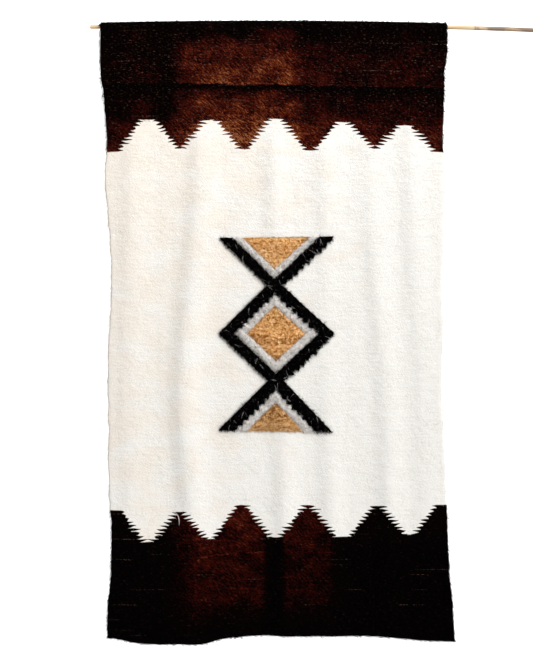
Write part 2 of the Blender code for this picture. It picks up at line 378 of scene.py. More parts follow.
@dataclass(frozen=True)
class DarkEnd:
    """Colour of one dark end: how brown it is above and below its seam, across it and all over.

    A pale thread may run along the seam, and rows of dashes and small flecks of pale hair lie on the dark wool.
    """

    seam: Table
    by_drop: Table
    by_across: Table
    all_over: Table
    line: float = 0.0
    line_width: float = 0.0019
    dash_pitch: float = 0.0131
    stops: Ramp = (
        (0.00, (0.0006, 0.0003, 0.0003)), (0.25, (0.0022, 0.0004, 0.0004)), (0.50, (0.0280, 0.0026, 0.0015)),
        (0.68, (0.0660, 0.0085, 0.0028)), (0.84, (0.1300, 0.0300, 0.0080)), (1.00, (0.2100, 0.0750, 0.0290)),
    )
    ragged: float = 0.012
    wander: float = 2.4
    fleck: Colour = (0.22, 0.13, 0.095)
    flecked: float = 1.0
    dashed: float = 0.42

    def colour(self, tree: Tree, across: Wire, drop: Wire, own: Number) -> Socket:
        """Mix black, brown and rust yarns in the short slanting strokes of a brushed nap.

        Args:
            tree: The material's tree.
            across: The place across the cloth.
            drop: The length of cloth below the cane.
            own: How much lighter or darker this hair is than the cloth round it.

        Returns:
            The colour.
        """
        ragged = (tree.noise(across * 60.0, drop * 60.0, 5.0, 2.0) - 0.5) * self.ragged
        below = drop - across.along(self.seam) + ragged
        wander = tree.noise(across * 7.0, drop * 9.0, 2.0, 2.0) - 0.5
        below = below + (below + 0.03).lowest(0.0) * wander * self.wander
        share = below.along(self.by_drop) * across.along(self.by_across) + drop.along(self.all_over)
        # The strokes slant down to the right by 40 degrees
        along, beside = across * 0.77 + drop * 0.64, drop * 0.77 - across * 0.64
        bend = tree.noise(across * 13.0, drop * 13.0, 7.0, 1.0) * 0.02
        stroke = tree.noise(along * 75.0, (beside + bend) * 270.0, 11.0, 1.0)
        crumb = tree.noise(across * 290.0, drop * 290.0, 13.0, 1.0)
        patch = tree.noise(across * 19.0, drop * 26.0, 17.0, 2.0)
        weft = tree.noise(across * 14.0, drop * 210.0, 19.0, 2.0)
        grain = (stroke - 0.5) * 2.0 + (crumb - 0.5) * 1.5 + (weft - 0.5) * 0.8 + own * 0.8
        amount = share * (patch * 1.7 + 0.13) + grain * (share * 0.8 + 0.10)
        thread = 1.0 - (below.size() / self.line_width).lowest(1.0)
        broken = tree.noise(across * 40.0, 3.0, 23.0, 2.0).step(0.42, 0.55)
        amount = amount + thread * broken * share * (2.0 * self.line)
        # The ramp's colour also holds the painted shade that a table across an end gives, such as a fold's
        # shaded flank.
        wear_and_shade = tree.add("ShaderNodeValToRGB", {"stops": self.stops}, {"Fac": amount}).outputs["Color"]
        row = drop / self.dash_pitch
        kept = tree.noise(across * 9.0, row.rounded() * 7.7, 29.0, 0.0).step(0.66, 0.72)
        torn = tree.noise(across * 330.0, drop * 90.0, 31.0, 1.0).step(0.48, 0.62)
        dash = row.swing().step(0.88, 0.97) * kept * torn * self.dashed
        speck = tree.noise(across * 130.0, drop * 330.0, 37.0, 2.0).step(0.58, 0.80)
        speck = speck * (share * 0.55 + 0.17) * self.flecked
        return tree.blend(dash.highest(speck), wear_and_shade, self.fleck)


@dataclass(frozen=True)
class Cloth(Surface):
    """Finish of the woven cloth: a cream ground with faint weft lines between two dark ends."""

    strand: bool = False
    cream: Colour = (0.800, 0.782, 0.745)
    ivory: Colour = (0.790, 0.730, 0.655)
    beige: Colour = (0.56, 0.50, 0.42)
    rib_pitch: float = 0.0034
    middle: float = 0.8
    top_edge: Zigzag = Zigzag(
        (
            (-0.4700, 0.4240, 0.3290), (-0.3276, 0.2221, 0.2455), (-0.2444, 0.3297, 0.3226),
            (-0.1625, 0.2322, 0.2478), (-0.0780, 0.3395, 0.3245), (0.0026, 0.2270, 0.2460),
            (0.0936, 0.3416, 0.3276), (0.1778, 0.2377, 0.2533), (0.2620, 0.3263, 0.3213),
            (0.3394, 0.2472, 0.2564), (0.4700, 0.3800, 0.3280),
        ),
        1.0,
    )
    low_edge: Zigzag = Zigzag(
        (
            (-0.4700, 1.1587, 1.2597), (-0.3273, 1.3542, 1.3432), (-0.2444, 1.2530, 1.2651),
            (-0.1664, 1.3445, 1.3353), (-0.0853, 1.2333, 1.2477), (0.0026, 1.3430, 1.3312),
            (0.0885, 1.2365, 1.2477), (0.1787, 1.3508, 1.3296), (0.2685, 1.2353, 1.2495),
            (0.3520, 1.3373, 1.3240), (0.4800, 1.1684, 1.2455),
        ),
        -1.0,
    )
    top_end: DarkEnd = DarkEnd(
        seam=(
            (-0.460, 0.1552), (-0.283, 0.1513), (-0.153, 0.1552), (-0.088, 0.1591), (0.003, 0.1565),
            (0.094, 0.1617), (0.276, 0.1617), (0.460, 0.1591),
        ),
        by_drop=(
            (-0.250, 0.10), (-0.157, 0.12), (-0.142, 0.25), (-0.112, 0.60), (-0.075, 0.90), (-0.040, 1.00),
            (-0.012, 1.00), (-0.003, 1.15), (0.0005, 0.08), (0.005, 0.15), (0.018, 0.65), (0.045, 0.88),
            (0.085, 1.00), (0.170, 1.10),
        ),
        by_across=(
            (-0.460, 0.14), (-0.400, 0.20), (-0.340, 0.28), (-0.280, 0.14), (-0.240, 0.42), (-0.190, 0.60),
            (-0.080, 0.60), (0.040, 0.60), (0.080, 0.38), (0.200, 0.30), (0.380, 0.31), (0.460, 0.24),
        ),
        all_over=((-0.100, 0.0), (0.235, 0.0), (0.265, 0.14), (0.330, 0.20)),
    )
    low_end: DarkEnd = DarkEnd(
        seam=(
            (-0.460, 1.3837), (-0.372, 1.3837), (-0.296, 1.3940), (-0.231, 1.4000), (-0.200, 1.3928),
            (-0.185, 1.3832), (-0.153, 1.3770), (-0.114, 1.3731), (-0.026, 1.3707), (0.460, 1.3671),
        ),
        by_drop=(
            (-0.150, 1.00), (-0.010, 1.00), (0.010, 0.90), (0.080, 0.95), (0.130, 0.80), (0.170, 0.35),
            (0.200, 0.12), (0.270, 0.05),
        ),
        # Across, the dip to 0.04 just left of the middle is painted shade: the shaded flank of a fold, darkened
        # to a black upright band.
        by_across=(
            (-0.460, 0.01), (-0.300, 0.05), (-0.235, 0.26), (-0.200, 0.38), (-0.100, 0.39), (-0.030, 0.36),
            (-0.012, 0.04), (0.015, 0.04), (0.030, 0.30), (0.090, 0.34), (0.140, 0.29), (0.170, 0.06),
            (0.460, 0.01),
        ),
        all_over=((1.200, 0.10), (1.300, 0.06), (1.360, 0.0), (1.640, 0.0)),
        line=0.55,
        flecked=0.4,
    )

    def dress(self, tree: Tree, shader: Node) -> None:
        """Build the woven pattern from the length of cloth that the mesh stores.

        Args:
            tree: The material's tree.
            shader: The shader that the pattern feeds.
        """
        across, drop, _ = tree.parts(tree.attribute("weave").outputs["Vector"])
        dark = self.top_edge.darkness(tree, across, drop).highest(self.low_edge.darkness(tree, across, drop))
        own = 0.0
        if self.strand:
            own = tree.wire(tree.attribute("tint"), "Fac") - 0.5
        top = self.top_end.colour(tree, across, drop, own)
        low = self.low_end.colour(tree, across, drop, own)
        ground = self.ground(tree, across, drop)
        if self.strand:
            ground = tree.vector("SCALE", ground, scale=own * 0.14 + 1.0)
        else:
            self.raise_ribs(tree, shader, across, drop)
        ends = tree.blend(drop.above(self.middle), top, low)
        tree.feed(shader.inputs["Base Color"], tree.blend(dark, ground, ends))

    def ground(self, tree: Tree, across: Wire, drop: Wire) -> Socket:
        """The cream ground: soft clouds, a nap mottled with painted shade, and a few beige weft lines and
        specks.

        Args:
            tree: The material's tree.
            across: The place across the cloth.
            drop: The length of cloth below the cane.

        Returns:
            The colour.
        """
        cloud = tree.noise(across * 11.0, drop * 16.0, 37.0, 2.0)
        warmth = cloud - across * 0.55 - (drop - 0.6) * 0.20
        colour = tree.blend(warmth.step(0.38, 0.80), self.cream, self.ivory)
        # Painted shade: small darker beige dots and clumps where the nap's tufts shade each other, stronger in
        # soft patches.
        mottle = tree.noise((across + drop) * 110.0, (drop - across) * 230.0, 41.0, 2.0)
        wear_and_shade = tree.noise(across * 19.0, drop * 19.0, 43.0, 1.0).step(0.40, 0.62)
        colour = tree.blend(mottle.step(0.50, 0.70) * (wear_and_shade * 0.30 + 0.10), colour, self.beige)
        line = tree.noise(across * 3.2, drop * 330.0, 47.0, 1.0).step(0.71, 0.77)
        broken = tree.noise(across * 26.0, drop * 300.0, 53.0, 1.0).step(0.44, 0.58)
        colour = tree.blend(line * broken * 0.45, colour, self.beige)
        speck = tree.noise(across * 430.0, drop * 430.0, 59.0, 0.0).step(0.80, 0.84)
        return tree.blend(speck * 0.6, colour, self.beige)

    def raise_ribs(self, tree: Tree, shader: Node, across: Wire, drop: Wire) -> None:
        """Raise the weft ribs under a brushed nap.

        Args:
            tree: The material's tree.
            shader: The shader whose normals are bumped.
            across: The place across the cloth.
            drop: The length of cloth below the cane.
        """
        wave = tree.noise(across * 30.0, drop * 60.0, 47.0, 1.0) * 0.004
        rib = (drop + wave).ripple(self.rib_pitch) * 0.16
        nap = tree.noise((across + drop) * 120.0, (drop - across) * 260.0, 61.0, 3.0)
        tuft = tree.noise(across * 70.0, drop * 90.0, 67.0, 2.0)
        height = rib + nap * 1.8 + tuft * 1.6
        bump = tree.add("ShaderNodeBump", inputs={"Strength": 0.6, "Distance": 0.0016, "Height": height})
        tree.feed(shader.inputs["Normal"], bump.outputs["Normal"])


@dataclass(frozen=True)
class Pile(Surface):
    """Finish of a field of pile: hair colours on a ramp, painted shade at the roots, and a shade and wefts by
    height.
    """

    stops: Ramp = ((0.0, (0.1, 0.1, 0.1)), (1.0, (0.2, 0.2, 0.2)))
    # A table that changes nothing still spans a little, as a curve needs
    by_height: Table = ((-1.1, 1.0), (-0.5, 0.999))
    # How dark the roots are painted, as shade among the hairs; a bed is darkened to it all over.
    root_shade: float = 0.8
    contrast: float = 1.4
    grain: float = 1.0
    banding: float = 0.0
    wefts: Table = ((-1.1, 0.0), (-0.5, 0.001))
    strand: bool = True

    def dress(self, tree: Tree, shader: Node) -> None:
        """Give each strand its own tint, darker at the root by painted shade among the hairs.

        Args:
            tree: The material's tree.
            shader: The shader that the colour feeds.
        """
        x, y, z = tree.parts(tree.add("ShaderNodeTexCoord").outputs["Object"])
        if self.strand:
            tint = tree.wire(tree.attribute("tint"), "Fac")
            # Painted shade: towards its root a strand darkens to root_shade, where the hairs shade each other.
            depth = tree.wire(tree.attribute("along"), "Fac").step(0.0, 0.7) * (1.0 - self.root_shade)
            depth = depth + self.root_shade
        else:
            tint = (tree.noise(x * 520.0, z * 520.0, y * 200.0, 2.0) - 0.5) * 1.8 + 0.5
            # Without strands the whole surface takes the roots' painted shade, as a bed does under its hairs.
            depth = self.root_shade
        bend = tree.noise(x * 30.0, z * 30.0, 9.0, 1.0) * 2.0
        cloud = (tree.noise(x * 100.0 + bend, z * 150.0 + bend, 5.0, 1.0) - 0.5) * self.contrast
        crumb = (tree.noise(x * 260.0, z * 260.0, 7.0, 1.0) - 0.5) * self.grain
        rows = (tree.noise(x * 13.0 + bend * 0.3, z * 185.0 + bend * 0.6, 3.0, 2.0) - 0.5) * self.banding
        weft = (z + (bend - 1.0) * 0.0012).along(self.wefts)
        fac = tint * 0.4 + 0.3 + cloud + crumb + rows + weft
        ramp = tree.add("ShaderNodeValToRGB", {"stops": self.stops}, {"Fac": fac})
        shade = z.along(self.by_height) * depth
        tree.feed(shader.inputs["Base Color"], tree.vector("SCALE", ramp.outputs["Color"], scale=shade))


@dataclass(frozen=True)
class Bamboo(Surface):
    """Finish of the cane: pale yellow skin, darker at the nodes and mottled past the fifth one."""

    skin: Colour = (0.56, 0.36, 0.18)
    pale: Colour = (0.73, 0.57, 0.38)
    mottle: Colour = (0.20, 0.14, 0.105)
    scar: Colour = (0.34, 0.20, 0.11)
    first_node: float = -0.4274
    node_pitch: float = 0.190
    mottle_start: float = 0.525

    def dress(self, tree: Tree, shader: Node) -> None:
        """Streak the skin along the cane and mark its nodes.

        Args:
            tree: The material's tree.
            shader: The shader that the colour feeds.
        """
        x, y, z = tree.parts(tree.add("ShaderNodeTexCoord").outputs["Object"])
        fibre = tree.noise(x * 9.0, y * 900.0, z * 900.0, 3.0)
        cloud = tree.noise(x * 22.0, y * 60.0, z * 60.0, 2.0)
        colour = tree.blend(fibre.step(0.30, 0.72), self.skin, self.pale)
        aged = x.step(self.mottle_start - 0.01, self.mottle_start + 0.01) * cloud.step(0.24, 0.50)
        colour = tree.blend(aged * 0.95, colour, self.mottle)
        node = ((x - self.first_node) / self.node_pitch).swing()
        colour = tree.blend(node.step(0.975, 0.99) * 0.75, colour, self.scar)
        tree.feed(shader.inputs["Base Color"], colour)
        bump = tree.add("ShaderNodeBump", inputs={"Strength": 0.25, "Distance": 0.0003, "Height": fibre})
        tree.feed(shader.inputs["Normal"], bump.outputs["Normal"])
        tree.feed(shader.inputs["Roughness"], cloud * 0.3 + 0.35)


@dataclass(frozen=True)
class Yarn(Surface):
    """Finish of the yarn that holds the sleeve."""

    colour: Colour = (0.006, 0.002, 0.0015)
    light: Colour = (0.20, 0.13, 0.10)
    ply_pitch: float = 0.0016

    def dress(self, tree: Tree, shader: Node) -> None:
        """Twist two tones of yarn.

        Args:
            tree: The material's tree.
            shader: The shader that the colour feeds.
        """
        x, y, z = tree.parts(tree.add("ShaderNodeTexCoord").outputs["Object"])
        ply = (x + z * 0.8 + y * 0.8).ripple(self.ply_pitch)
        wear_and_shade = tree.noise(x * 22.0, z * 40.0, 3.0) + x * 0.25
        colour = tree.blend((ply * 0.08 + wear_and_shade).step(0.56, 0.78), self.colour, self.light)
        tree.feed(shader.inputs["Base Color"], colour)
        bump = tree.add("ShaderNodeBump", inputs={"Strength": 0.5, "Distance": 0.0003, "Height": ply})
        tree.feed(shader.inputs["Normal"], bump.outputs["Normal"])


class Lay(Enum):
    """Way in which the hairs of a growth are brushed."""

    DOWN = (0.25, 0.0, -1.0)
    SLANTING = (0.75, 0.0, -0.70)


@dataclass(frozen=True)
class Growth:
    """Hairs on a surface or an edge, at their real sizes.

    The density is the roots on each square metre, or on each metre of an edge. Lean is the share of the brushed
    way in a hair's own, spread the random share of it, and depth how much of that points out of the cloth.
    """

    density: float
    length: float
    thickness: float
    bend: float = 0.35
    lean: float = 0.6
    spread: float = 0.5
    segments: int = 2
    shortest: float = 0.6
    behind: float = 0.0
    facing: float = 0.3
    drift: float = 0.0
    depth: float = 1.0
    lay: Lay = Lay.DOWN
    where: str = ""
    seed: int = 1


class Piecework:
    """Geometry Nodes that stand copies of a small shape on points and realize them."""

    def __init__(self, name: str, numbers: Sequence[str]) -> None:
        """Make the tree and its named inputs.

        Args:
            name: The name of the tree.
            numbers: The labels of its sizes.
        """
        self.group = bpy.data.node_groups.new(name, "GeometryNodeTree")
        self.tree = Tree(self.group)
        face = self.group.interface
        face.new_socket("Geometry", in_out="INPUT", socket_type="NodeSocketGeometry")
        for label in numbers:
            face.new_socket(label, in_out="INPUT", socket_type="NodeSocketFloat")
        face.new_socket("Material", in_out="INPUT", socket_type="NodeSocketMaterial")
        face.new_socket("Geometry", in_out="OUTPUT", socket_type="NodeSocketGeometry")
        self.entry = self.tree.add("NodeGroupInput")

    def given(self, label: str) -> Wire:
        """A named input of the tree."""
        return self.tree.wire(self.entry, label)

    def close(self, copies: Socket) -> None:
        """End the tree: realize the copies and give them the material.

        Args:
            copies: The instances.
        """
        whole = self.tree.add("GeometryNodeRealizeInstances", inputs={"Geometry": copies})
        inputs = {"Geometry": whole.outputs[0], "Material": self.entry.outputs["Material"]}
        dressed = self.tree.add("GeometryNodeSetMaterial", inputs=inputs)
        self.tree.add("NodeGroupOutput", inputs={"Geometry": dressed.outputs[0]})

    def run(self, name: str, mesh: Mesh, values: Mapping[str, object]) -> Thing:
        """Run the tree on a mesh and keep its result as a plain mesh.

        Args:
            name: The name of the new piece.
            mesh: The mesh that the tree reads.
            values: What its named inputs are given.

        Returns:
            The new object.
        """
        source = bpy.data.objects.new(f"{name}_source", mesh)
        bpy.context.scene.collection.objects.link(source)
        modifier = source.modifiers.new("nodes", "NODES")
        modifier.node_group = self.group
        items = self.group.interface.items_tree
        sockets = {item.name: item.identifier for item in items if item.in_out == "INPUT"}
        for label, value in values.items():
            modifier[sockets[label]] = value
        made = flatten(source, name)
        bpy.data.objects.remove(source)
        return made


class Thicket(Piecework):
    """Geometry Nodes that grow hairs out of a mesh."""

    NUMBERS = (
        "Density", "Length", "Thickness", "Bend", "Lean", "Spread", "Shortest", "Behind", "Facing", "Drift",
    )

    def __init__(self, name: str, growth: Growth, edge: bool = False) -> None:
        """Build the tree.

        Args:
            name: The name of the tree.
            growth: The hairs.
            edge: Whether the roots stand along a line and not on faces.
        """
        super().__init__(name, self.NUMBERS)
        self.growth = growth
        roots, normal = self.edge_roots() if edge else self.face_roots()
        self.finish(roots, normal)

    def face_roots(self) -> tuple[Socket, Socket]:
        """Scatter roots on the faces that look forwards, and fewer behind.

        Returns:
            The roots and the way out of the surface at each.
        """
        tree = self.tree
        _, facing, _ = tree.parts(tree.add("GeometryNodeInputNormal").outputs[0])
        wanted = facing.below(self.given("Facing")) + facing.above(0.5) * self.given("Behind")
        if self.growth.where:
            inputs = {"Name": self.growth.where}
            share = tree.add("GeometryNodeInputNamedAttribute", {"data_type": "FLOAT"}, inputs)
            wanted = wanted * tree.wire(share)
        inputs = {"Mesh": self.entry.outputs["Geometry"], "Density": wanted * self.given("Density")}
        inputs["Seed"] = self.growth.seed
        node = tree.add("GeometryNodeDistributePointsOnFaces", {"distribute_method": "RANDOM"}, inputs)
        return node.outputs["Points"], node.outputs["Normal"]

    def edge_roots(self) -> tuple[Socket, Socket]:
        """Space roots along an edge line, whose points store the way out of the cloth.

        Returns:
            The roots and the way out at each.
        """
        tree = self.tree
        line = tree.add("GeometryNodeMeshToCurve", inputs={"Mesh": self.entry.outputs["Geometry"]})
        inputs = {"Curve": line.outputs[0], "Length": 1.0 / self.given("Density")}
        points = tree.add("GeometryNodeCurveToPoints", {"mode": "LENGTH"}, inputs)
        inputs = {"Name": "outward"}
        outward = tree.add("GeometryNodeInputNamedAttribute", {"data_type": "FLOAT_VECTOR"}, inputs)
        return points.outputs["Points"], outward.outputs[0]

    def strand(self) -> Socket:
        """One tapered hair of unit length with three sides, which stores how far along it a point lies.

        Returns:
            The hair's mesh.
        """
        tree = self.tree
        inputs = {"Resolution": 8, "Start": (0.0, 0.0, 0.0), "Middle": (0.0, 0.0, 0.55)}
        inputs["End"] = tree.point(self.given("Bend"), 0.0, 0.9)
        line = tree.add("GeometryNodeCurveQuadraticBezier", inputs=inputs)
        inputs = {"Curve": line.outputs[0], "Count": self.growth.segments + 1}
        line = tree.add("GeometryNodeResampleCurve", {"mode": "COUNT"}, inputs)
        share = tree.wire(tree.add("GeometryNodeSplineParameter"), "Factor")
        radius = (1.0 - share * share) * self.given("Thickness") / self.given("Length") * 0.5
        settings = {"data_type": "FLOAT", "domain": "POINT"}
        inputs = {"Geometry": line.outputs[0], "Name": "along", "Value": share}
        line = tree.add("GeometryNodeStoreNamedAttribute", settings, inputs)
        inputs = {"Resolution": 3, "Radius": 1.0}
        ring = tree.add("GeometryNodeCurvePrimitiveCircle", {"mode": "RADIUS"}, inputs)
        inputs = {"Curve": line.outputs[0], "Profile Curve": ring.outputs[0]}
        inputs |= {"Scale": radius, "Fill Caps": True}
        hair = tree.add("GeometryNodeCurveToMesh", inputs=inputs)
        inputs = {"Geometry": hair.outputs[0], "Distance": 0.0005}
        return tree.add("GeometryNodeMergeByDistance", inputs=inputs).outputs[0]

    def finish(self, roots: Socket, normal: Socket) -> None:
        """Stand a hair on each root, tint it, and realize the instances.

        Args:
            roots: The points.
            normal: The way out of the surface at each.
        """
        tree = self.tree
        lean, spread, depth = self.given("Lean"), self.given("Spread"), self.growth.depth
        lay = tree.point(*self.growth.lay.value)
        inputs = {0: (-1.0, -depth, -1.0), 1: (1.0, depth, 1.0), "Seed": self.growth.seed + 1}
        jitter = tree.add("FunctionNodeRandomValue", {"data_type": "FLOAT_VECTOR"}, inputs)
        place = tree.vector("SCALE", tree.add("GeometryNodeInputPosition").outputs[0], scale=18.0)
        swirl = tree.add("ShaderNodeTexNoise", inputs={"Vector": place, "Scale": 1.0, "Detail": 1.0})
        swirl = tree.vector("SUBTRACT", swirl.outputs["Color"], (0.5, 0.5, 0.5))
        flat = tree.vector("MULTIPLY", swirl, (1.0, 0.0, 1.0))
        lay = tree.vector("ADD", lay, tree.vector("SCALE", flat, scale=self.given("Drift")))
        upright = tree.vector("SCALE", normal, scale=1.0 - lean)
        brushed = tree.vector("SCALE", lay, scale=lean)
        jittered = tree.vector("SCALE", jitter.outputs[0], scale=spread)
        grow = tree.vector("ADD", tree.vector("ADD", upright, brushed), jittered)
        turn = tree.add("FunctionNodeAlignRotationToVector", {"axis": "Z"}, {"Vector": grow})
        droop = tree.vector("ADD", lay, tree.vector("SCALE", jitter.outputs[0], scale=spread * 1.5))
        inputs = {"Rotation": turn.outputs[0], "Vector": droop}
        turn = tree.add("FunctionNodeAlignRotationToVector", {"axis": "X", "pivot_axis": "Z"}, inputs)
        inputs = {2: self.given("Shortest"), 3: 1.0, "Seed": self.growth.seed + 2}
        size = tree.add("FunctionNodeRandomValue", {"data_type": "FLOAT"}, inputs)
        scale = tree.wire(size, 1) * self.given("Length")
        inputs = {"Points": roots, "Instance": self.strand(), "Rotation": turn.outputs[0]}
        inputs["Scale"] = tree.point(scale, scale, scale)
        hairs = tree.add("GeometryNodeInstanceOnPoints", inputs=inputs)
        tint = tree.add("FunctionNodeRandomValue", {"data_type": "FLOAT"}, {"Seed": self.growth.seed + 3})
        settings = {"data_type": "FLOAT", "domain": "INSTANCE"}
        inputs = {"Geometry": hairs.outputs[0], "Name": "tint", "Value": tree.wire(tint, 1)}
        self.close(tree.add("GeometryNodeStoreNamedAttribute", settings, inputs).outputs[0])

    def grow(self, name: str, mesh: Mesh, material: Material) -> Thing:
        """Grow the hairs out of a mesh.

        Args:
            name: The name of the new piece.
            mesh: The surface or the edge line, which isn't changed.
            material: The finish of the hairs.

        Returns:
            A plain mesh object of the hairs alone.
        """
        values = {label: getattr(self.growth, label.lower()) for label in self.NUMBERS}
        values["Material"] = material
        return self.run(name, mesh, values)


def flatten(source: Thing, name: str) -> Thing:
    """Make a plain mesh object of what an object's modifiers give.

    Args:
        source: The object with the modifiers.
        name: The name of the new object.

    Returns:
        The new object.
    """
    graph = bpy.context.evaluated_depsgraph_get()
    data = bpy.data.meshes.new_from_object(source.evaluated_get(graph), depsgraph=graph)
    data.name = name
    return new_piece(name, data)


def new_piece(name: str, data: Mesh) -> Thing:
    """Link a new object for a mesh, at the origin.

    Args:
        name: The name of the object.
        data: Its mesh.

    Returns:
        The object.
    """
    thing = bpy.data.objects.new(name, data)
    bpy.context.scene.collection.objects.link(thing)
    return thing


def settle(thing: Thing, surface: Surface, *nodes: str) -> Thing:
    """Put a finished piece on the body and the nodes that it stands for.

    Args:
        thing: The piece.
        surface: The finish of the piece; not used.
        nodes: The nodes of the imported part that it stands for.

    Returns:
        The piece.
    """
    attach(thing, BODY)
    if nodes:
        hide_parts(*nodes)
    LOG.info("%s: %d faces", thing.name, len(thing.data.polygons))
    return thing


def wear(thing: Thing, material: Material) -> None:
    """Give a piece one material."""
    thing.data.materials.clear()
    thing.data.materials.append(material)


def grid_mesh(name: str, points: np.ndarray, closed: bool = False) -> Mesh:
    """Make a mesh of a grid of points.

    Args:
        name: The mesh's name.
        points: An array of rows by columns by 3.
        closed: Whether each row is a ring.

    Returns:
        The mesh, with four-sided faces.
    """
    rows, columns, _ = points.shape
    index = np.arange(rows * columns).reshape(rows, columns)
    if closed:
        index = np.hstack((index, index[:, :1]))
    faces = np.stack((index[:-1, :-1], index[:-1, 1:], index[1:, 1:], index[1:, :-1]), axis=-1).reshape(-1, 4)
    mesh = bpy.data.meshes.new(name)
    mesh.from_pydata(points.reshape(-1, 3).tolist(), [], faces.tolist())
    return mesh


def close_ends(mesh: Mesh) -> None:
    """Close the two ends of a tube and turn all its faces outwards.

    Args:
        mesh: The tube's mesh.
    """
    shape = bmesh.new()
    shape.from_mesh(mesh)
    bmesh.ops.holes_fill(shape, edges=[edge for edge in shape.edges if edge.is_boundary], sides=0)
    bmesh.ops.recalc_face_normals(shape, faces=shape.faces)
    shape.to_mesh(mesh)
    shape.free()


def smooth(places: Sequence[float], values: Sequence[float], at: np.ndarray) -> np.ndarray:
    """Read the smooth curve through a table, flat beyond its ends.

    Args:
        places: The places of its rows.
        values: The value at each place.
        at: The places where the curve is read.

    Returns:
        The values there.
    """
    places, values = np.asarray(places), np.asarray(values)
    at = np.clip(at, places[0], places[-1])
    slopes = np.gradient(values, places)
    k = np.clip(np.searchsorted(places, at, side="right") - 1, 0, len(places) - 2)
    span = places[k + 1] - places[k]
    t = (at - places[k]) / span
    rest = 1.0 - t
    held = values[k] * rest**2 * (1.0 + 2.0 * t) + values[k + 1] * t**2 * (1.0 + 2.0 * rest)
    return held + slopes[k] * span * t * rest**2 - slopes[k + 1] * span * t**2 * rest


def ease(share: Reading) -> np.ndarray:
    """Smooth step from 0 to 1."""
    share = np.clip(share, 0.0, 1.0)
    return share * share * (3.0 - 2.0 * share)


def lumps(x: np.ndarray, y: np.ndarray, seed: int) -> np.ndarray:
    """Soft seeded unevenness at places in units of its grain.

    Args:
        x: The places along one way.
        y: The places along the other.
        seed: The seed of its random numbers.

    Returns:
        The unevenness, from -1 to 1.
    """
    size = 256
    table = np.random.RandomState(seed).uniform(-1.0, 1.0, (size, size))
    column, row = np.floor(x).astype(int), np.floor(y).astype(int)
    across, up = ease(x - column), ease(y - row)
    left, right = column % size, (column + 1) % size
    near, far = (
        table[line % size, left] * (1 - across) + table[line % size, right] * across
        for line in (row, row + 1)
    )
    return near * (1 - up) + far * up


@dataclass(frozen=True)
class Crumple:
    """Seeded unevenness of the cloth: its height, the lengths of its grain and the start of its pattern."""

    height: float
    across: float
    down: float
    seed: int
    start: float = 40.0

    def at(self, place: Reading, drop: Reading) -> Reading:
        """How far it pushes the cloth at a place."""
        return self.height * lumps(place / self.across + self.start, drop / self.down, self.seed)


@dataclass(frozen=True)
class Fold:
    """An upright fold: its path and height at the levels, and the width of its flanks."""

    across: tuple[float, ...]
    height: tuple[float, ...]
    left_flank: float
    right_flank: float


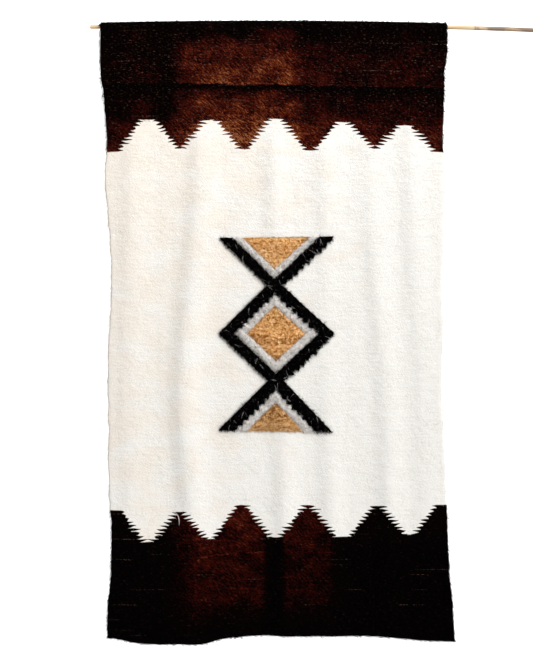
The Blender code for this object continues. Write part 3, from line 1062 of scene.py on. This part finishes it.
@dataclass
class Hanging:
    """The cloth as it hangs: one sheet from the hem up the front, over the cane and down a short flap."""

    thickness: float = 0.0045
    sleeve_radius: float = 0.008635
    sleeve_drop: float = 0.048
    layer_offset: float = 0.00245
    fold_fade: float = 0.20
    rod_arch: float = 0.0281
    rod_crown: float = -0.031
    columns: int = 146
    sections: tuple[tuple[str, int], ...] = (("front", 206), ("sleeve_front", 10), ("turn", 14), ("flap", 10))
    # Distances from an edge of the points beside it, and the lengths that turn them into shares
    border: tuple[float, ...] = (0.0, 0.0007, 0.0016, 0.0030)
    mean_width: float = 0.89
    mean_front: float = 1.55
    thinnest: float = 0.25
    # Unevenness all over the cloth, and of its selvedges, where the place is a share of the width
    crumple: tuple[Crumple, ...] = (Crumple(0.0005, 0.017, 0.013, 3), Crumple(0.0004, 0.050, 0.0045, 4))
    wander: tuple[Crumple, ...] = (Crumple(0.0010, 0.5, 0.009, 5, 9.0), Crumple(0.0016, 0.5, 0.034, 6, 5.0))
    crumple_start: float = 0.02
    crumple_fade: float = 0.06
    # The long nap lies above the first drop and below the second
    long_nap: tuple[float, float] = (0.225, 1.335)
    nap_fade: float = 0.03
    nap_thinning: float = 0.6
    # Selvedges: the drop below the cane, and the places of the left and the right one
    edge_rows: tuple[tuple[float, float, float], ...] = (
        (0.000, -0.4500, 0.4480),
        (0.045, -0.4500, 0.4498),
        (0.133, -0.4485, 0.4425),
        (0.216, -0.4394, 0.4394),
        (0.300, -0.4330, 0.4396),
        (0.378, -0.4380, 0.4405),
        (0.480, -0.4320, 0.4408),
        (0.586, -0.4245, 0.4368),
        (0.690, -0.4238, 0.4342),
        (0.794, -0.4290, 0.4392),
        (0.898, -0.4316, 0.4342),
        (1.054, -0.4290, 0.4394),
        (1.184, -0.4290, 0.4450),
        (1.313, -0.4228, 0.4498),
        (1.443, -0.4236, 0.4563),
        (1.522, -0.4318, 0.4650),
        (1.600, -0.4330, 0.4668),
    )
    # Hem: its mean drop, and its place across and drop
    hem: float = 1.6
    hem_rows: Table = (
        (-0.432, 1.5945), (-0.380, 1.6042), (-0.328, 1.6094), (-0.262, 1.6092), (-0.192, 1.6063),
        (-0.161, 1.5977), (-0.099, 1.5899), (-0.042, 1.5860), (0.016, 1.5886), (0.146, 1.5880),
        (0.270, 1.5899), (0.356, 1.5982), (0.467, 1.6038),
    )
    fold_levels: tuple[float, ...] = (0.15, 0.45, 0.62, 1.00, 1.22, 1.60)
    folds: tuple[Fold, ...] = (
        Fold(
            (-0.375, -0.370, -0.374, -0.378, -0.372, -0.360),
            (0.002, 0.004, 0.004, 0.003, 0.003, 0.005),
            0.030, 0.042,
        ),
        Fold(
            (-0.195, -0.195, -0.210, -0.236, -0.218, -0.213),
            (0.003, 0.007, 0.007, 0.009, 0.009, 0.006),
            0.030, 0.046,
        ),
        Fold(
            (-0.005, 0.000, 0.005, 0.020, 0.026, 0.026),
            (0.002, 0.005, 0.002, 0.003, 0.006, 0.005),
            0.026, 0.036,
        ),
        Fold(
            (0.130, 0.133, 0.134, 0.140, 0.146, 0.146),
            (0.002, 0.004, 0.002, 0.003, 0.005, 0.004),
            0.026, 0.034,
        ),
        Fold(
            (0.250, 0.252, 0.264, 0.292, 0.296, 0.296),
            (0.002, 0.004, 0.005, 0.005, 0.006, 0.005),
            0.027, 0.038,
        ),
        Fold(
            (0.354, 0.359, 0.366, 0.388, 0.393, 0.393),
            (0.002, 0.005, 0.004, 0.002, 0.002, 0.003),
            0.026, 0.032,
        ),
    )
    nap: Growth = Growth(
        23000, 0.0075, 0.0007, bend=0.5, lean=0.72, spread=0.55, segments=1, behind=0.30, facing=-0.25,
        drift=1.6, where="short",
    )
    dark_nap: Growth = Growth(
        26000, 0.0115, 0.0013, bend=0.35, lean=0.70, spread=0.40, behind=0.25, facing=-0.25, drift=2.0,
        lay=Lay.SLANTING, where="long", seed=11,
    )
    fuzz: Growth = Growth(
        1100, 0.0065, 0.0007, bend=0.4, lean=0.2, spread=0.8, segments=1, depth=0.5, seed=21
    )
    tufts: Growth = Growth(
        300, 0.0100, 0.0022, bend=0.8, lean=0.25, spread=0.55, segments=3, shortest=0.2, depth=0.2, seed=25
    )

    def rod_height(self, across: Reading) -> Reading:
        """Height of the bent cane's axis, which is 0 at the middle of the cloth."""
        return self.rod_arch * (self.rod_crown**2 - (across - self.rod_crown) ** 2)

    def selvedge(self, side: int, drop: Reading) -> np.ndarray:
        """Place of the left (1) or right (2) selvedge at a drop."""
        rows = np.array(self.edge_rows)
        return smooth(rows[:, 0], rows[:, side], np.asarray(drop))

    def relief(self, across: np.ndarray, drop: np.ndarray) -> np.ndarray:
        """How far the folds bring the cloth forwards.

        Args:
            across: The places across the cloth.
            drop: The drops below the cane.

        Returns:
            The distance at each.
        """
        total = np.zeros_like(across)
        for fold in self.folds:
            offset = across - smooth(self.fold_levels, fold.across, drop)
            flank = np.where(offset < 0, fold.left_flank, fold.right_flank)
            total += smooth(self.fold_levels, fold.height, drop) * np.exp(-((offset / flank) ** 2))
        return total * ease((drop - self.sleeve_drop) / self.fold_fade)

    def row(self, section: str, rise: float, share: np.ndarray) -> tuple[np.ndarray, np.ndarray]:
        """Points and stored cloth lengths of one row of the sheet.

        Args:
            section: The section's name.
            rise: The share of the section's height.
            share: The shares of the cloth's width.

        Returns:
            The points, and for each the place across and the length of cloth below the cane.
        """
        radius = self.sleeve_radius
        middle = self.selvedge(1, 0.0) + (self.selvedge(2, 0.0) - self.selvedge(1, 0.0)) * share
        level = np.zeros_like(share)
        if section == "turn":
            angle = math.pi * rise
            depth, height = -radius * math.cos(angle), radius * math.sin(angle)
            points = (middle, level + depth, self.rod_height(middle) + height)
            return np.stack(points, axis=-1), np.stack((middle, level - radius * angle, level), axis=-1)
        if section == "flap":
            depth = radius + (self.layer_offset - radius) * ease(rise)
            fall = self.sleeve_drop * rise
            points = (middle, level + depth, self.rod_height(middle) - fall)
            lengths = (middle, level - radius * math.pi - fall, level)
            return np.stack(points, axis=-1), np.stack(lengths, axis=-1)
        places, drops = np.array(self.hem_rows).T
        hem = smooth(places, drops, middle)
        drop = self.sleeve_drop * (1.0 - rise) + level
        if section == "front":
            drop = hem + (self.sleeve_drop - hem) * rise
        left, right = self.selvedge(1, drop), self.selvedge(2, drop)
        across = left + (right - left) * share
        depth = radius + (self.layer_offset - radius) * ease(drop / self.sleeve_drop)
        depth = depth + self.relief(across, drop)
        fade = ease((drop - self.crumple_start) / self.crumple_fade)
        depth = depth + fade * sum(crumple.at(across, drop) for crumple in self.crumple)
        wander = sum(crumple.at(share, drop) for crumple in self.wander)
        across = across + wander * np.abs(2.0 * share - 1.0) ** 3
        height = self.rod_height(across) * (1.0 - ease(drop / hem)) - drop
        return np.stack((across, -depth, height), axis=-1), np.stack((across, drop, level), axis=-1)

    def sheet(self) -> tuple[np.ndarray, np.ndarray]:
        """Lay out the whole sheet.

        Returns:
            The points of its middle surface and their stored lengths, as rows by columns by 3.
        """
        near = np.array(self.border) / self.mean_width
        inner = np.linspace(near[-1], 1.0 - near[-1], self.columns - 2 * len(near) + 2)
        share = np.concatenate((near[:-1], inner, 1.0 - near[-2::-1]))
        rows = []
        for number, (section, count) in enumerate(self.sections):
            rises = [step / count for step in range(1 if number else 0, count + 1)]
            if not number:
                hem = [edge / self.mean_front for edge in self.border]
                rises = hem + [rise for rise in rises if rise * self.mean_front > 1.5 * self.border[-1]]
            rows += [self.row(section, rise, share) for rise in rises]
        return np.array([points for points, _ in rows]), np.array([weave for _, weave in rows])

    def build(self, finish: Cloth) -> Thing:
        """Make the closed sheet with rounded edges, and store what its weave and nap follow.

        Args:
            finish: The finish of the weave.

        Returns:
            The cloth.
        """
        points, weave = self.sheet()
        mesh = grid_mesh("woven_cloth", points)
        stored = mesh.attributes.new("weave", "FLOAT_VECTOR", "POINT")
        stored.data.foreach_set("vector", weave.ravel())
        drop = weave[:, :, 1].ravel()
        past_top, past_low = (ease((drop - start) / self.nap_fade) for start in self.long_nap)
        long = 1.0 - past_top + past_low
        for name, share in (("long", long), ("short", 1.0 - self.nap_thinning * long)):
            mesh.attributes.new(name, "FLOAT", "POINT").data.foreach_set("value", share)
        mesh.shade_smooth()
        source = new_piece("woven_cloth_source", mesh)
        source.data.materials.append(finish.material())
        self.round_edges(source, points)
        shell = source.modifiers.new("thickness", "SOLIDIFY")
        shell.thickness = self.thickness
        shell.offset = 0.0
        shell.vertex_group = "body"
        cloth = flatten(source, "woven_cloth")
        bpy.data.objects.remove(source)
        return settle(cloth, finish, "rug_cloth")

    def grow(self, cloth: Thing, finish: Cloth) -> list[Thing]:
        """Grow the nap out of the cloth, and the fuzz and tufts out of its edges.

        Args:
            cloth: The finished cloth.
            finish: The finish of the hairs.

        Returns:
            The pieces of hair.
        """
        line = self.edge_line(*self.sheet())
        material = finish.material()
        pieces = []
        for name, growth, ground in (
            ("brushed_nap", self.nap, cloth.data),
            ("dark_nap", self.dark_nap, cloth.data),
            ("edge_fuzz", self.fuzz, line),
            ("edge_tufts", self.tufts, line),
        ):
            grown = Thicket(name, growth, edge=ground is line).grow(name, ground, material)
            pieces.append(settle(grown, finish))
        return pieces

    def round_edges(self, source: Thing, points: np.ndarray) -> None:
        """Store how thick the sheet is at each point, so that its four borders are round.

        Args:
            source: The open sheet.
            points: Its points, as rows by columns by 3.
        """
        rows, columns, _ = points.shape
        side = np.full(columns, self.border[-1])
        side[: len(self.border)] = self.border
        side[-len(self.border):] = self.border[::-1]
        end = np.full(rows, self.border[-1])
        end[: len(self.border)] = self.border
        inward = np.minimum(side[None, :], end[:, None]) / self.border[-1]
        share = np.maximum(np.sqrt(1.0 - (1.0 - inward) ** 2), self.thinnest)
        group = source.vertex_groups.new(name="body")
        for value in np.unique(share):
            group.add(np.flatnonzero(share.ravel() == value).tolist(), float(value), "REPLACE")

    def edge_line(self, points: np.ndarray, weave: np.ndarray) -> Mesh:
        """Make lines round the selvedges and the hem and over the cane.

        Args:
            points: The sheet's points, as rows by columns by 3.
            weave: Their stored lengths.

        Returns:
            A mesh of lines whose points store the lengths and the way out of the cloth.
        """
        front = sum(count for _, count in self.sections[:2]) + len(self.border)
        crest = front + self.sections[2][1] // 2
        sides = (
            (points[:, 0], weave[:, 0], (-1.0, 0.0, 0.0)),
            (points[0], weave[0], (0.0, 0.0, -1.0)),
            (points[:, -1], weave[:, -1], (1.0, 0.0, 0.0)),
            (points[crest] + (0.0, 0.0, self.thickness / 2), weave[crest], (0.0, 0.0, 1.0)),
        )
        path, stored, way, pairs = [], [], [], []
        for line, lengths, outward in sides:
            pairs += [(len(path) + k, len(path) + k + 1) for k in range(len(line) - 1)]
            path += line.tolist()
            stored += lengths.tolist()
            way += [outward] * len(line)
        mesh = bpy.data.meshes.new("edge_line")
        mesh.from_pydata(path, pairs, [])
        for name, values in (("weave", stored), ("outward", way)):
            mesh.attributes.new(name, "FLOAT_VECTOR", "POINT").data.foreach_set("vector", np.ravel(values))
        return mesh


@dataclass
class Curl:
    """The one curl of pale yarn that strays over the tip of a dark triangle of the low end."""

    place: float = -0.2460
    start: float = 1.2636
    fall: float = 0.0362
    bow: float = 0.0158
    radius: float = 0.0009
    taper: float = 0.9
    rings: int = 16
    sides: int = 6

    def build(self, hanging: Hanging, finish: Pile) -> Thing:
        """Lay a tapered thread on the front of the cloth.

        Args:
            hanging: The cloth that it lies on.
            finish: The finish of the yarn.

        Returns:
            The curl.
        """
        share = np.linspace(1.0, 0.0, self.rings)
        drop = self.start + self.fall * (1.0 - share)
        across = self.place - self.bow * share**4
        depth = hanging.layer_offset + hanging.relief(across, drop) + hanging.thickness / 2 + self.radius
        height = hanging.rod_height(across) * (1.0 - drop / hanging.hem) - drop
        path = np.stack((across, -depth, height), axis=-1)
        tangent = np.gradient(path, axis=0)
        tangent /= np.linalg.norm(tangent, axis=1)[:, None]
        beside = np.stack((-tangent[:, 2], tangent[:, 1] * 0.0, tangent[:, 0]), axis=-1)
        size = self.radius * (1.0 - self.taper * np.abs(2.0 * share - 1.0) ** 3)
        angle = np.linspace(0.0, math.tau, self.sides, endpoint=False)[None, :, None]
        ring = beside[:, None] * np.cos(angle) + np.array((0.0, 1.0, 0.0)) * np.sin(angle)
        mesh = grid_mesh("stray_curl", path[:, None] + ring * size[:, None, None], closed=True)
        close_ends(mesh)
        mesh.shade_smooth()
        curl = new_piece("stray_curl", mesh)
        wear(curl, finish.material())
        return settle(curl, finish)


@dataclass
class Cane:
    """The bamboo cane: one bent tube with node rings and hollowed ends."""

    radius: float = 0.0055
    left: float = -0.478
    length: float = 1.200
    sides: int = 28
    step: float = 0.004
    bore: float = 0.0021
    bore_depth: float = 0.0030
    bore_point: float = 0.0002
    chamfer: float = 0.0004
    ridge: float = 0.065
    ridge_width: float = 0.0022
    groove: float = 0.035
    groove_width: float = 0.0011
    groove_place: float = 0.0035
    node_reach: float = 0.006
    node_rings: int = 25
    unevenness: float = 0.006
    lump_length: float = 0.03

    def swell(self, x: np.ndarray, finish: Bamboo) -> np.ndarray:
        """Work out the radius along the cane, with a ridge and a groove at each node.

        Args:
            x: The places along it.
            finish: The finish, which marks the nodes.

        Returns:
            The radius as a share of the cane's own.
        """
        node = finish.first_node + np.round((x - finish.first_node) / finish.node_pitch) * finish.node_pitch
        off = x - node
        inside = node < self.last_node(finish)
        ridge = self.ridge * np.exp(-((off / self.ridge_width) ** 2))
        groove = self.groove * np.exp(-(((off - self.groove_place) / self.groove_width) ** 2))
        uneven = self.unevenness * lumps(x / self.lump_length + 40.0, x * 0.0, 8)
        return 1.0 + np.where(inside, ridge - groove, 0.0) + uneven

    def last_node(self, finish: Bamboo) -> float:
        """Place past which no node stands, a third of a pitch from the right end."""
        return self.left + self.length - finish.node_pitch / 3

    def build(self, hanging: Hanging, finish: Bamboo) -> Thing:
        """Make the cane as rings along its bent axis, and close its ends.

        Args:
            hanging: The cloth, which knows how the cane bends.
            finish: The finish of its skin.

        Returns:
            The cane.
        """
        right = self.left + self.length
        places = set(np.arange(self.left + self.chamfer, right - self.chamfer, self.step))
        for node in np.arange(finish.first_node, self.last_node(finish), finish.node_pitch):
            places |= set(node + np.linspace(-self.node_reach, self.node_reach, self.node_rings))
        x = np.array(sorted(places))
        radius = self.radius * self.swell(x, finish)
        floor = self.left + self.bore_depth
        start = [(floor, self.bore_point), (floor, self.bore), (self.left, self.bore)]
        start.append((self.left, self.radius - self.chamfer))
        end = [(self.left + right - place, size) for place, size in reversed(start)]
        profile = np.array(start + list(zip(x, radius)) + end)
        angle = np.linspace(0.0, math.tau, self.sides, endpoint=False)
        points = np.empty((len(profile), self.sides, 3))
        points[:, :, 0] = profile[:, :1]
        points[:, :, 1] = profile[:, 1:] * np.sin(angle)
        points[:, :, 2] = profile[:, 1:] * np.cos(angle) + hanging.rod_height(profile[:, :1])
        mesh = grid_mesh("bamboo_cane", points, closed=True)
        close_ends(mesh)
        mesh.shade_smooth()
        mesh.set_sharp_from_angle(angle=math.radians(35))
        cane = new_piece("bamboo_cane", mesh)
        wear(cane, finish.material())
        return settle(cane, finish, "hanging_rod")


@dataclass
class Sewing:
    """Running stitches that hold the sleeve, in front and behind."""

    pitch: float = 0.0105
    length: float = 0.0062
    thickness: float = 0.0011
    drop: float = 0.0460
    inset: float = 0.006
    lift: float = 0.0004
    points: int = 90
    NUMBERS = ("Pitch", "Length", "Thickness")

    def plan(self) -> Piecework:
        """Write the Geometry Nodes that lay one stitch at each step of a line.

        Returns:
            The finished tree.
        """
        work = Piecework("stitches", self.NUMBERS)
        tree = work.tree
        line = tree.add("GeometryNodeMeshToCurve", inputs={"Mesh": work.entry.outputs["Geometry"]})
        inputs = {"Curve": line.outputs[0], "Length": work.given("Pitch")}
        points = tree.add("GeometryNodeCurveToPoints", {"mode": "LENGTH"}, inputs)
        inputs = {0: (0.0, 0.0, -0.2), 1: (0.0, 0.0, 0.2), "Seed": 5}
        slant = tree.add("FunctionNodeRandomValue", {"data_type": "FLOAT_VECTOR"}, inputs)
        way = tree.vector("ADD", points.outputs["Tangent"], slant.outputs[0])
        turn = tree.add("FunctionNodeAlignRotationToVector", {"axis": "Z"}, {"Vector": way})
        ball = tree.add("GeometryNodeMeshUVSphere", inputs={"Segments": 8, "Rings": 6, "Radius": 0.5})
        thick, long = work.given("Thickness"), work.given("Length")
        inputs = {"Points": points.outputs["Points"], "Instance": ball.outputs[0]}
        inputs |= {"Rotation": turn.outputs[0], "Scale": tree.point(thick, thick, long)}
        work.close(tree.add("GeometryNodeInstanceOnPoints", inputs=inputs).outputs[0])
        return work

    def build(self, hanging: Hanging, finish: Yarn) -> Thing:
        """Lay the two rows of stitches on the faces of the sleeve.

        Args:
            hanging: The cloth.
            finish: The finish of the yarn.

        Returns:
            The stitches.
        """
        share = np.linspace(self.inset, 1.0 - self.inset, self.points)
        skin = hanging.thickness / 2 + self.lift
        front, _ = hanging.row("sleeve_front", 1.0 - self.drop / hanging.sleeve_drop, share)
        back, _ = hanging.row("flap", self.drop / hanging.sleeve_drop, share)
        front[:, 1] -= skin
        back[:, 1] += skin
        path = np.concatenate((front, back))
        pairs = [(k, k + 1) for k in range(len(path) - 1) if k != len(front) - 1]
        line = bpy.data.meshes.new("stitch_line")
        line.from_pydata(path.tolist(), pairs, [])
        values = {label: getattr(self, label.lower()) for label in self.NUMBERS}
        values["Material"] = finish.material()
        made = self.plan().run("sleeve_stitches", line, values)
        made.data.shade_smooth()
        return settle(made, finish)


@dataclass
class Field:
    """One field of the motif: its lumpy bed and the strands that grow out of it."""

    node: str
    finish: Pile
    growth: Growth
    lump: float = 0.0007
    lump_length: float = 0.0035

    def bed(self, source: Thing) -> Thing:
        """Make a finer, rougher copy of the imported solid.

        Args:
            source: The solid's mesh.

        Returns:
            The bed.
        """
        shape = bmesh.new()
        shape.from_mesh(source.data)
        bmesh.ops.remove_doubles(shape, verts=shape.verts, dist=0.00001)
        bmesh.ops.subdivide_edges(shape, edges=shape.edges, cuts=1, use_grid_fill=True)
        shape.normal_update()
        for vertex in shape.verts:
            across = np.array(vertex.co.x / self.lump_length + 90.0)
            up = np.array(vertex.co.z / self.lump_length + 900.0)
            forwards = max(-vertex.normal.y, 0.0)
            vertex.co += vertex.normal * (self.lump * float(lumps(across, up, 12)) * forwards)
        mesh = bpy.data.meshes.new(f"{self.node}_bed")
        shape.to_mesh(mesh)
        shape.free()
        mesh.shade_smooth()
        return new_piece(f"{self.node}_bed", mesh)

    def build(self, source: Thing) -> list[Thing]:
        """Make the bed and grow the strands.

        Args:
            source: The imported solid.

        Returns:
            The bed and the strands.
        """
        bed, finish = self.bed(source), self.finish
        # The bed takes the strands' root_shade as painted shade all over, since it lies under the hairs.
        ground = Pile(
            f"{finish.name}_ground", finish.slot, stops=finish.stops, by_height=finish.by_height,
            root_shade=finish.root_shade, specular=finish.specular, strand=False,
        )
        wear(bed, ground.material())
        settle(bed, ground, self.node)
        hairs = Thicket(self.node, self.growth).grow(f"{self.node}_strands", bed.data, finish.material())
        return [bed, settle(hairs, finish)]


@dataclass
class Motif:
    """All fields of pile on the front of the cloth."""

    black: Pile = Pile(
        "black_alpaca_pile", "black_alpaca", specular=0.01, root_shade=0.3, contrast=0.6,
        stops=(
            (0.0, (0.0008, 0.0006, 0.0006)), (0.60, (0.0030, 0.0020, 0.0021)), (0.74, (0.012, 0.009, 0.009)),
            (0.86, (0.075, 0.064, 0.062)), (1.0, (0.16, 0.14, 0.135)),
        ),
    )
    grey: Pile = Pile(
        "grey_alpaca_pile", "grey_alpaca", specular=0.01, root_shade=0.88, contrast=0.9,
        stops=(
            (0.0, (0.24, 0.23, 0.22)), (0.20, (0.56, 0.535, 0.51)), (0.40, (0.77, 0.735, 0.70)),
            (0.65, (0.88, 0.845, 0.81)), (1.0, (0.97, 0.95, 0.93)),
        ),
    )
    tan: Pile = Pile(
        "tan_alpaca_pile", "tan_alpaca", specular=0.01, root_shade=0.95, contrast=1.5, grain=1.1, banding=1.9,
        stops=(
            (0.0, (0.26, 0.090, 0.018)), (0.25, (0.52, 0.235, 0.064)), (0.50, (0.73, 0.395, 0.148)),
            (0.75, (0.86, 0.530, 0.245)), (1.0, (0.96, 0.740, 0.490)),
        ),
        by_height=(
            (-1.10, 0.72), (-0.99, 0.78), (-0.96, 0.84), (-0.90, 0.80), (-0.865, 0.98), (-0.83, 1.02),
            (-0.815, 1.10), (-0.795, 0.98), (-0.76, 0.92), (-0.70, 0.90), (-0.66, 1.0), (-0.559, 1.0),
            (-0.555, 0.70),
        ),
        wefts=(
            (-1.055, 0.20), (-1.030, 0.02), (-1.022, -0.42), (-1.000, -0.60), (-0.855, -0.16),
            (-0.836, 0.12), (-0.828, -0.20), (-0.821, -0.66), (-0.812, -0.26), (-0.797, 0.03),
            (-0.780, -0.06), (-0.760, -0.30), (-0.751, -0.80), (-0.742, -0.48), (-0.620, 0.20),
            (-0.594, 0.20), (-0.586, 0.0), (-0.550, 0.0),
        ),
    )
    black_growth: Growth = Growth(
        150000, 0.0085, 0.0014, bend=0.55, lean=0.26, spread=0.60, drift=1.2, seed=31
    )
    grey_growth: Growth = Growth(
        210000, 0.0075, 0.0010, bend=0.70, lean=0.30, spread=0.50, drift=2.4, seed=41
    )
    tan_growth: Growth = Growth(
        160000, 0.0070, 0.0015, bend=0.80, lean=0.55, spread=0.45, drift=3.0, seed=51
    )
    black_wisps: Growth = Growth(
        40000, 0.0125, 0.0012, bend=0.7, lean=0.70, spread=1.1, segments=3, depth=0.2, seed=71
    )
    grey_wisps: Growth = Growth(
        70000, 0.0125, 0.0011, bend=0.7, lean=0.68, spread=1.3, segments=3, depth=0.2, seed=81
    )
    stray_growth: Growth = Growth(2800, 0.0170, 0.0007, bend=0.9, lean=0.60, spread=0.60, segments=4, seed=61)

    def build(self, nodes: Mapping[str, Thing]) -> list[Thing]:
        """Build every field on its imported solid, and the long wisps and stray hairs over them.

        Args:
            nodes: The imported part's nodes by name.

        Returns:
            The pieces.
        """
        fields = [Field("black_pile", self.black, self.black_growth)]
        for place in ("top", "middle", "bottom"):
            fields.append(Field(f"grey_pile_{place}", self.grey, self.grey_growth))
            fields.append(Field(f"tan_pile_{place}", self.tan, self.tan_growth))
        pieces = {item.node: item.build(nodes[item.node]) for item in fields}
        over = [
            ("stray_hairs", "black_pile", self.stray_growth, self.grey),
            ("black_wisps", "black_pile", self.black_wisps, self.black),
        ]
        for place in ("top", "middle", "bottom"):
            over.append((f"grey_wisps_{place}", f"grey_pile_{place}", self.grey_wisps, self.grey))
        for name, node, growth, finish in over:
            hairs = Thicket(name, growth).grow(name, pieces[node][0].data, finish.material())
            pieces[name] = [settle(hairs, finish)]
        return [piece for group in pieces.values() for piece in group]


@dataclass(frozen=True)
class Lamp:
    """A square lamp: its place, its side and its power."""

    place: tuple[float, float, float]
    size: float
    power: float


@dataclass
class Studio:
    """Camera, soft lights, pale floor and a plain backdrop close behind the rug.

    The lens is set for a picture with as many rows as the photograph, in which one pixel shows one pixel size
    of the rug.
    """

    rows: int = 661
    pixel: float = 0.0026
    centre: tuple[float, float] = (-0.0195, -0.7948)
    distance: float = 3.2
    sensor: float = 36.0
    floor: float = -1.95
    ceiling: float = 1.4
    half_width: float = 6.0
    wall: float = 0.016
    wall_glow: float = 0.88
    pale: Colour = (0.93, 0.93, 0.93)
    lamps: tuple[Lamp, ...] = (Lamp((0.3, -1.5, 1.6), 1.4, 58.0), Lamp((-1.6, 3.4, 1.0), 1.6, 140.0))
    sun_azimuth: float = 53.0
    sun_height: float = 12.0
    sun_spread: float = 36.0
    sun_power: float = 2.6
    soft: float = 0.16
    soft_colour: Colour = (1.0, 0.99, 0.97)
    seen_colour: Colour = (0.93, 0.93, 0.94)

    def build(self) -> None:
        """Set the whole studio."""
        self.set_camera()
        self.set_stage()
        self.add_sun()
        for lamp in self.lamps:
            self.add_lamp(lamp)
        self.set_world()
        bpy.context.scene.view_settings.view_transform = "Standard"

    def set_camera(self) -> None:
        """A level camera in front of the rug."""
        data = bpy.data.cameras.new("camera")
        data.sensor_width = self.sensor
        data.lens = self.sensor * self.distance / (self.rows * self.pixel)
        camera = bpy.data.objects.new("camera", data)
        camera.location = (self.centre[0], -self.distance, self.centre[1])
        camera.rotation_euler = (math.radians(90), 0.0, 0.0)
        bpy.context.scene.collection.objects.link(camera)
        bpy.context.scene.camera = camera

    def add_lamp(self, lamp: Lamp) -> None:
        """Point a square lamp at the middle of the rug.

        Args:
            lamp: The lamp.
        """
        data = bpy.data.lights.new("lamp", "AREA")
        data.size = lamp.size
        data.energy = lamp.power
        thing = bpy.data.objects.new("lamp", data)
        thing.location = lamp.place
        x, y, z = np.array((self.centre[0], 0.0, self.centre[1])) - lamp.place
        thing.rotation_euler = (math.pi / 2 + math.atan2(z, math.hypot(x, y)), 0.0, -math.atan2(x, y))
        bpy.context.scene.collection.objects.link(thing)

    def add_sun(self) -> None:
        """An even, soft-edged light from the right of the camera and a little above."""
        data = bpy.data.lights.new("sun", "SUN")
        data.angle = math.radians(self.sun_spread)
        data.energy = self.sun_power
        sun = bpy.data.objects.new("sun", data)
        sun.rotation_euler = (math.radians(90.0 - self.sun_height), 0.0, math.radians(self.sun_azimuth))
        bpy.context.scene.collection.objects.link(sun)

    def set_stage(self) -> None:
        """A pale floor, and a pale backdrop that is clear from behind."""
        half, low, high, wall = self.half_width, self.floor, self.ceiling, self.wall
        floor = [[(-half, y, low), (half, y, low)] for y in (-half, half)]
        backdrop = [[(-half, wall, z), (half, wall, z)] for z in (low, high)]
        for name, rows, clear in (("floor", floor, False), ("backdrop", backdrop, True)):
            plane = new_piece(name, grid_mesh(name, np.array(rows)))
            wear(plane, self.plain(name, clear))
            plane.visible_shadow = plane.visible_diffuse = not clear

    def plain(self, name: str, clear: bool) -> Material:
        """Make a matt pale finish.

        Args:
            name: Its name.
            clear: Whether it glows, and is seen through from behind.

        Returns:
            The material.
        """
        material, tree, shader = new_material(name, 1.0, 0.0)
        tree.feed(shader.inputs["Base Color"], self.pale)
        if clear:
            tree.feed(shader.inputs["Emission Color"], (1.0, 1.0, 1.0))
            tree.feed(shader.inputs["Emission Strength"], self.wall_glow)
            behind = tree.add("ShaderNodeNewGeometry").outputs["Backfacing"]
            glass = tree.add("ShaderNodeBsdfTransparent")
            inputs = {0: behind, 1: shader.outputs[0], 2: glass.outputs[0]}
            mixed = tree.add("ShaderNodeMixShader", inputs=inputs)
            tree.feed(material.node_tree.nodes["Material Output"].inputs["Surface"], mixed.outputs[0])
        return material

    def set_world(self) -> None:
        """Soft light from all round, and a pale ground behind all that the camera sees."""
        world = bpy.data.worlds.new("studio")
        world.use_nodes = True
        tree = Tree(world.node_tree)
        soft = world.node_tree.nodes["Background"]
        tree.feed(soft.inputs["Strength"], self.soft)
        tree.feed(soft.inputs["Color"], self.soft_colour)
        seen = tree.add("ShaderNodeBackground", inputs={"Color": self.seen_colour, "Strength": 1.0})
        path = tree.add("ShaderNodeLightPath")
        inputs = {0: path.outputs["Is Camera Ray"], 1: soft.outputs[0], 2: seen.outputs[0]}
        mixed = tree.add("ShaderNodeMixShader", inputs=inputs)
        tree.feed(world.node_tree.nodes["World Output"].inputs["Surface"], mixed.outputs[0])
        bpy.context.scene.world = world


def main() -> None:
    """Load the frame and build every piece."""
    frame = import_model()
    Studio().build()
    hanging = Hanging()
    weave = Cloth("woven_alpaca", "alpaca_cloth", specular=0.01)
    cloth = hanging.build(weave)
    hairs = hanging.grow(cloth, Cloth("alpaca_nap", weave.slot, specular=0.01, strand=True))
    cane = Cane().build(hanging, Bamboo("bamboo_skin", "bamboo", specular=0.35))
    stitches = Sewing().build(hanging, Yarn("sleeve_yarn", weave.slot))
    tones = ((0.0, (0.62, 0.60, 0.57)), (1.0, (0.86, 0.84, 0.80)))
    pale = Pile("stray_yarn", weave.slot, specular=0.01, stops=tones, strand=False)
    curl = Curl().build(hanging, pale)
    pile = Motif().build(frame["nodes"])


if __name__ == "__main__":
    logging.basicConfig(level=logging.INFO, format="%(name)s: %(message)s")
    main()
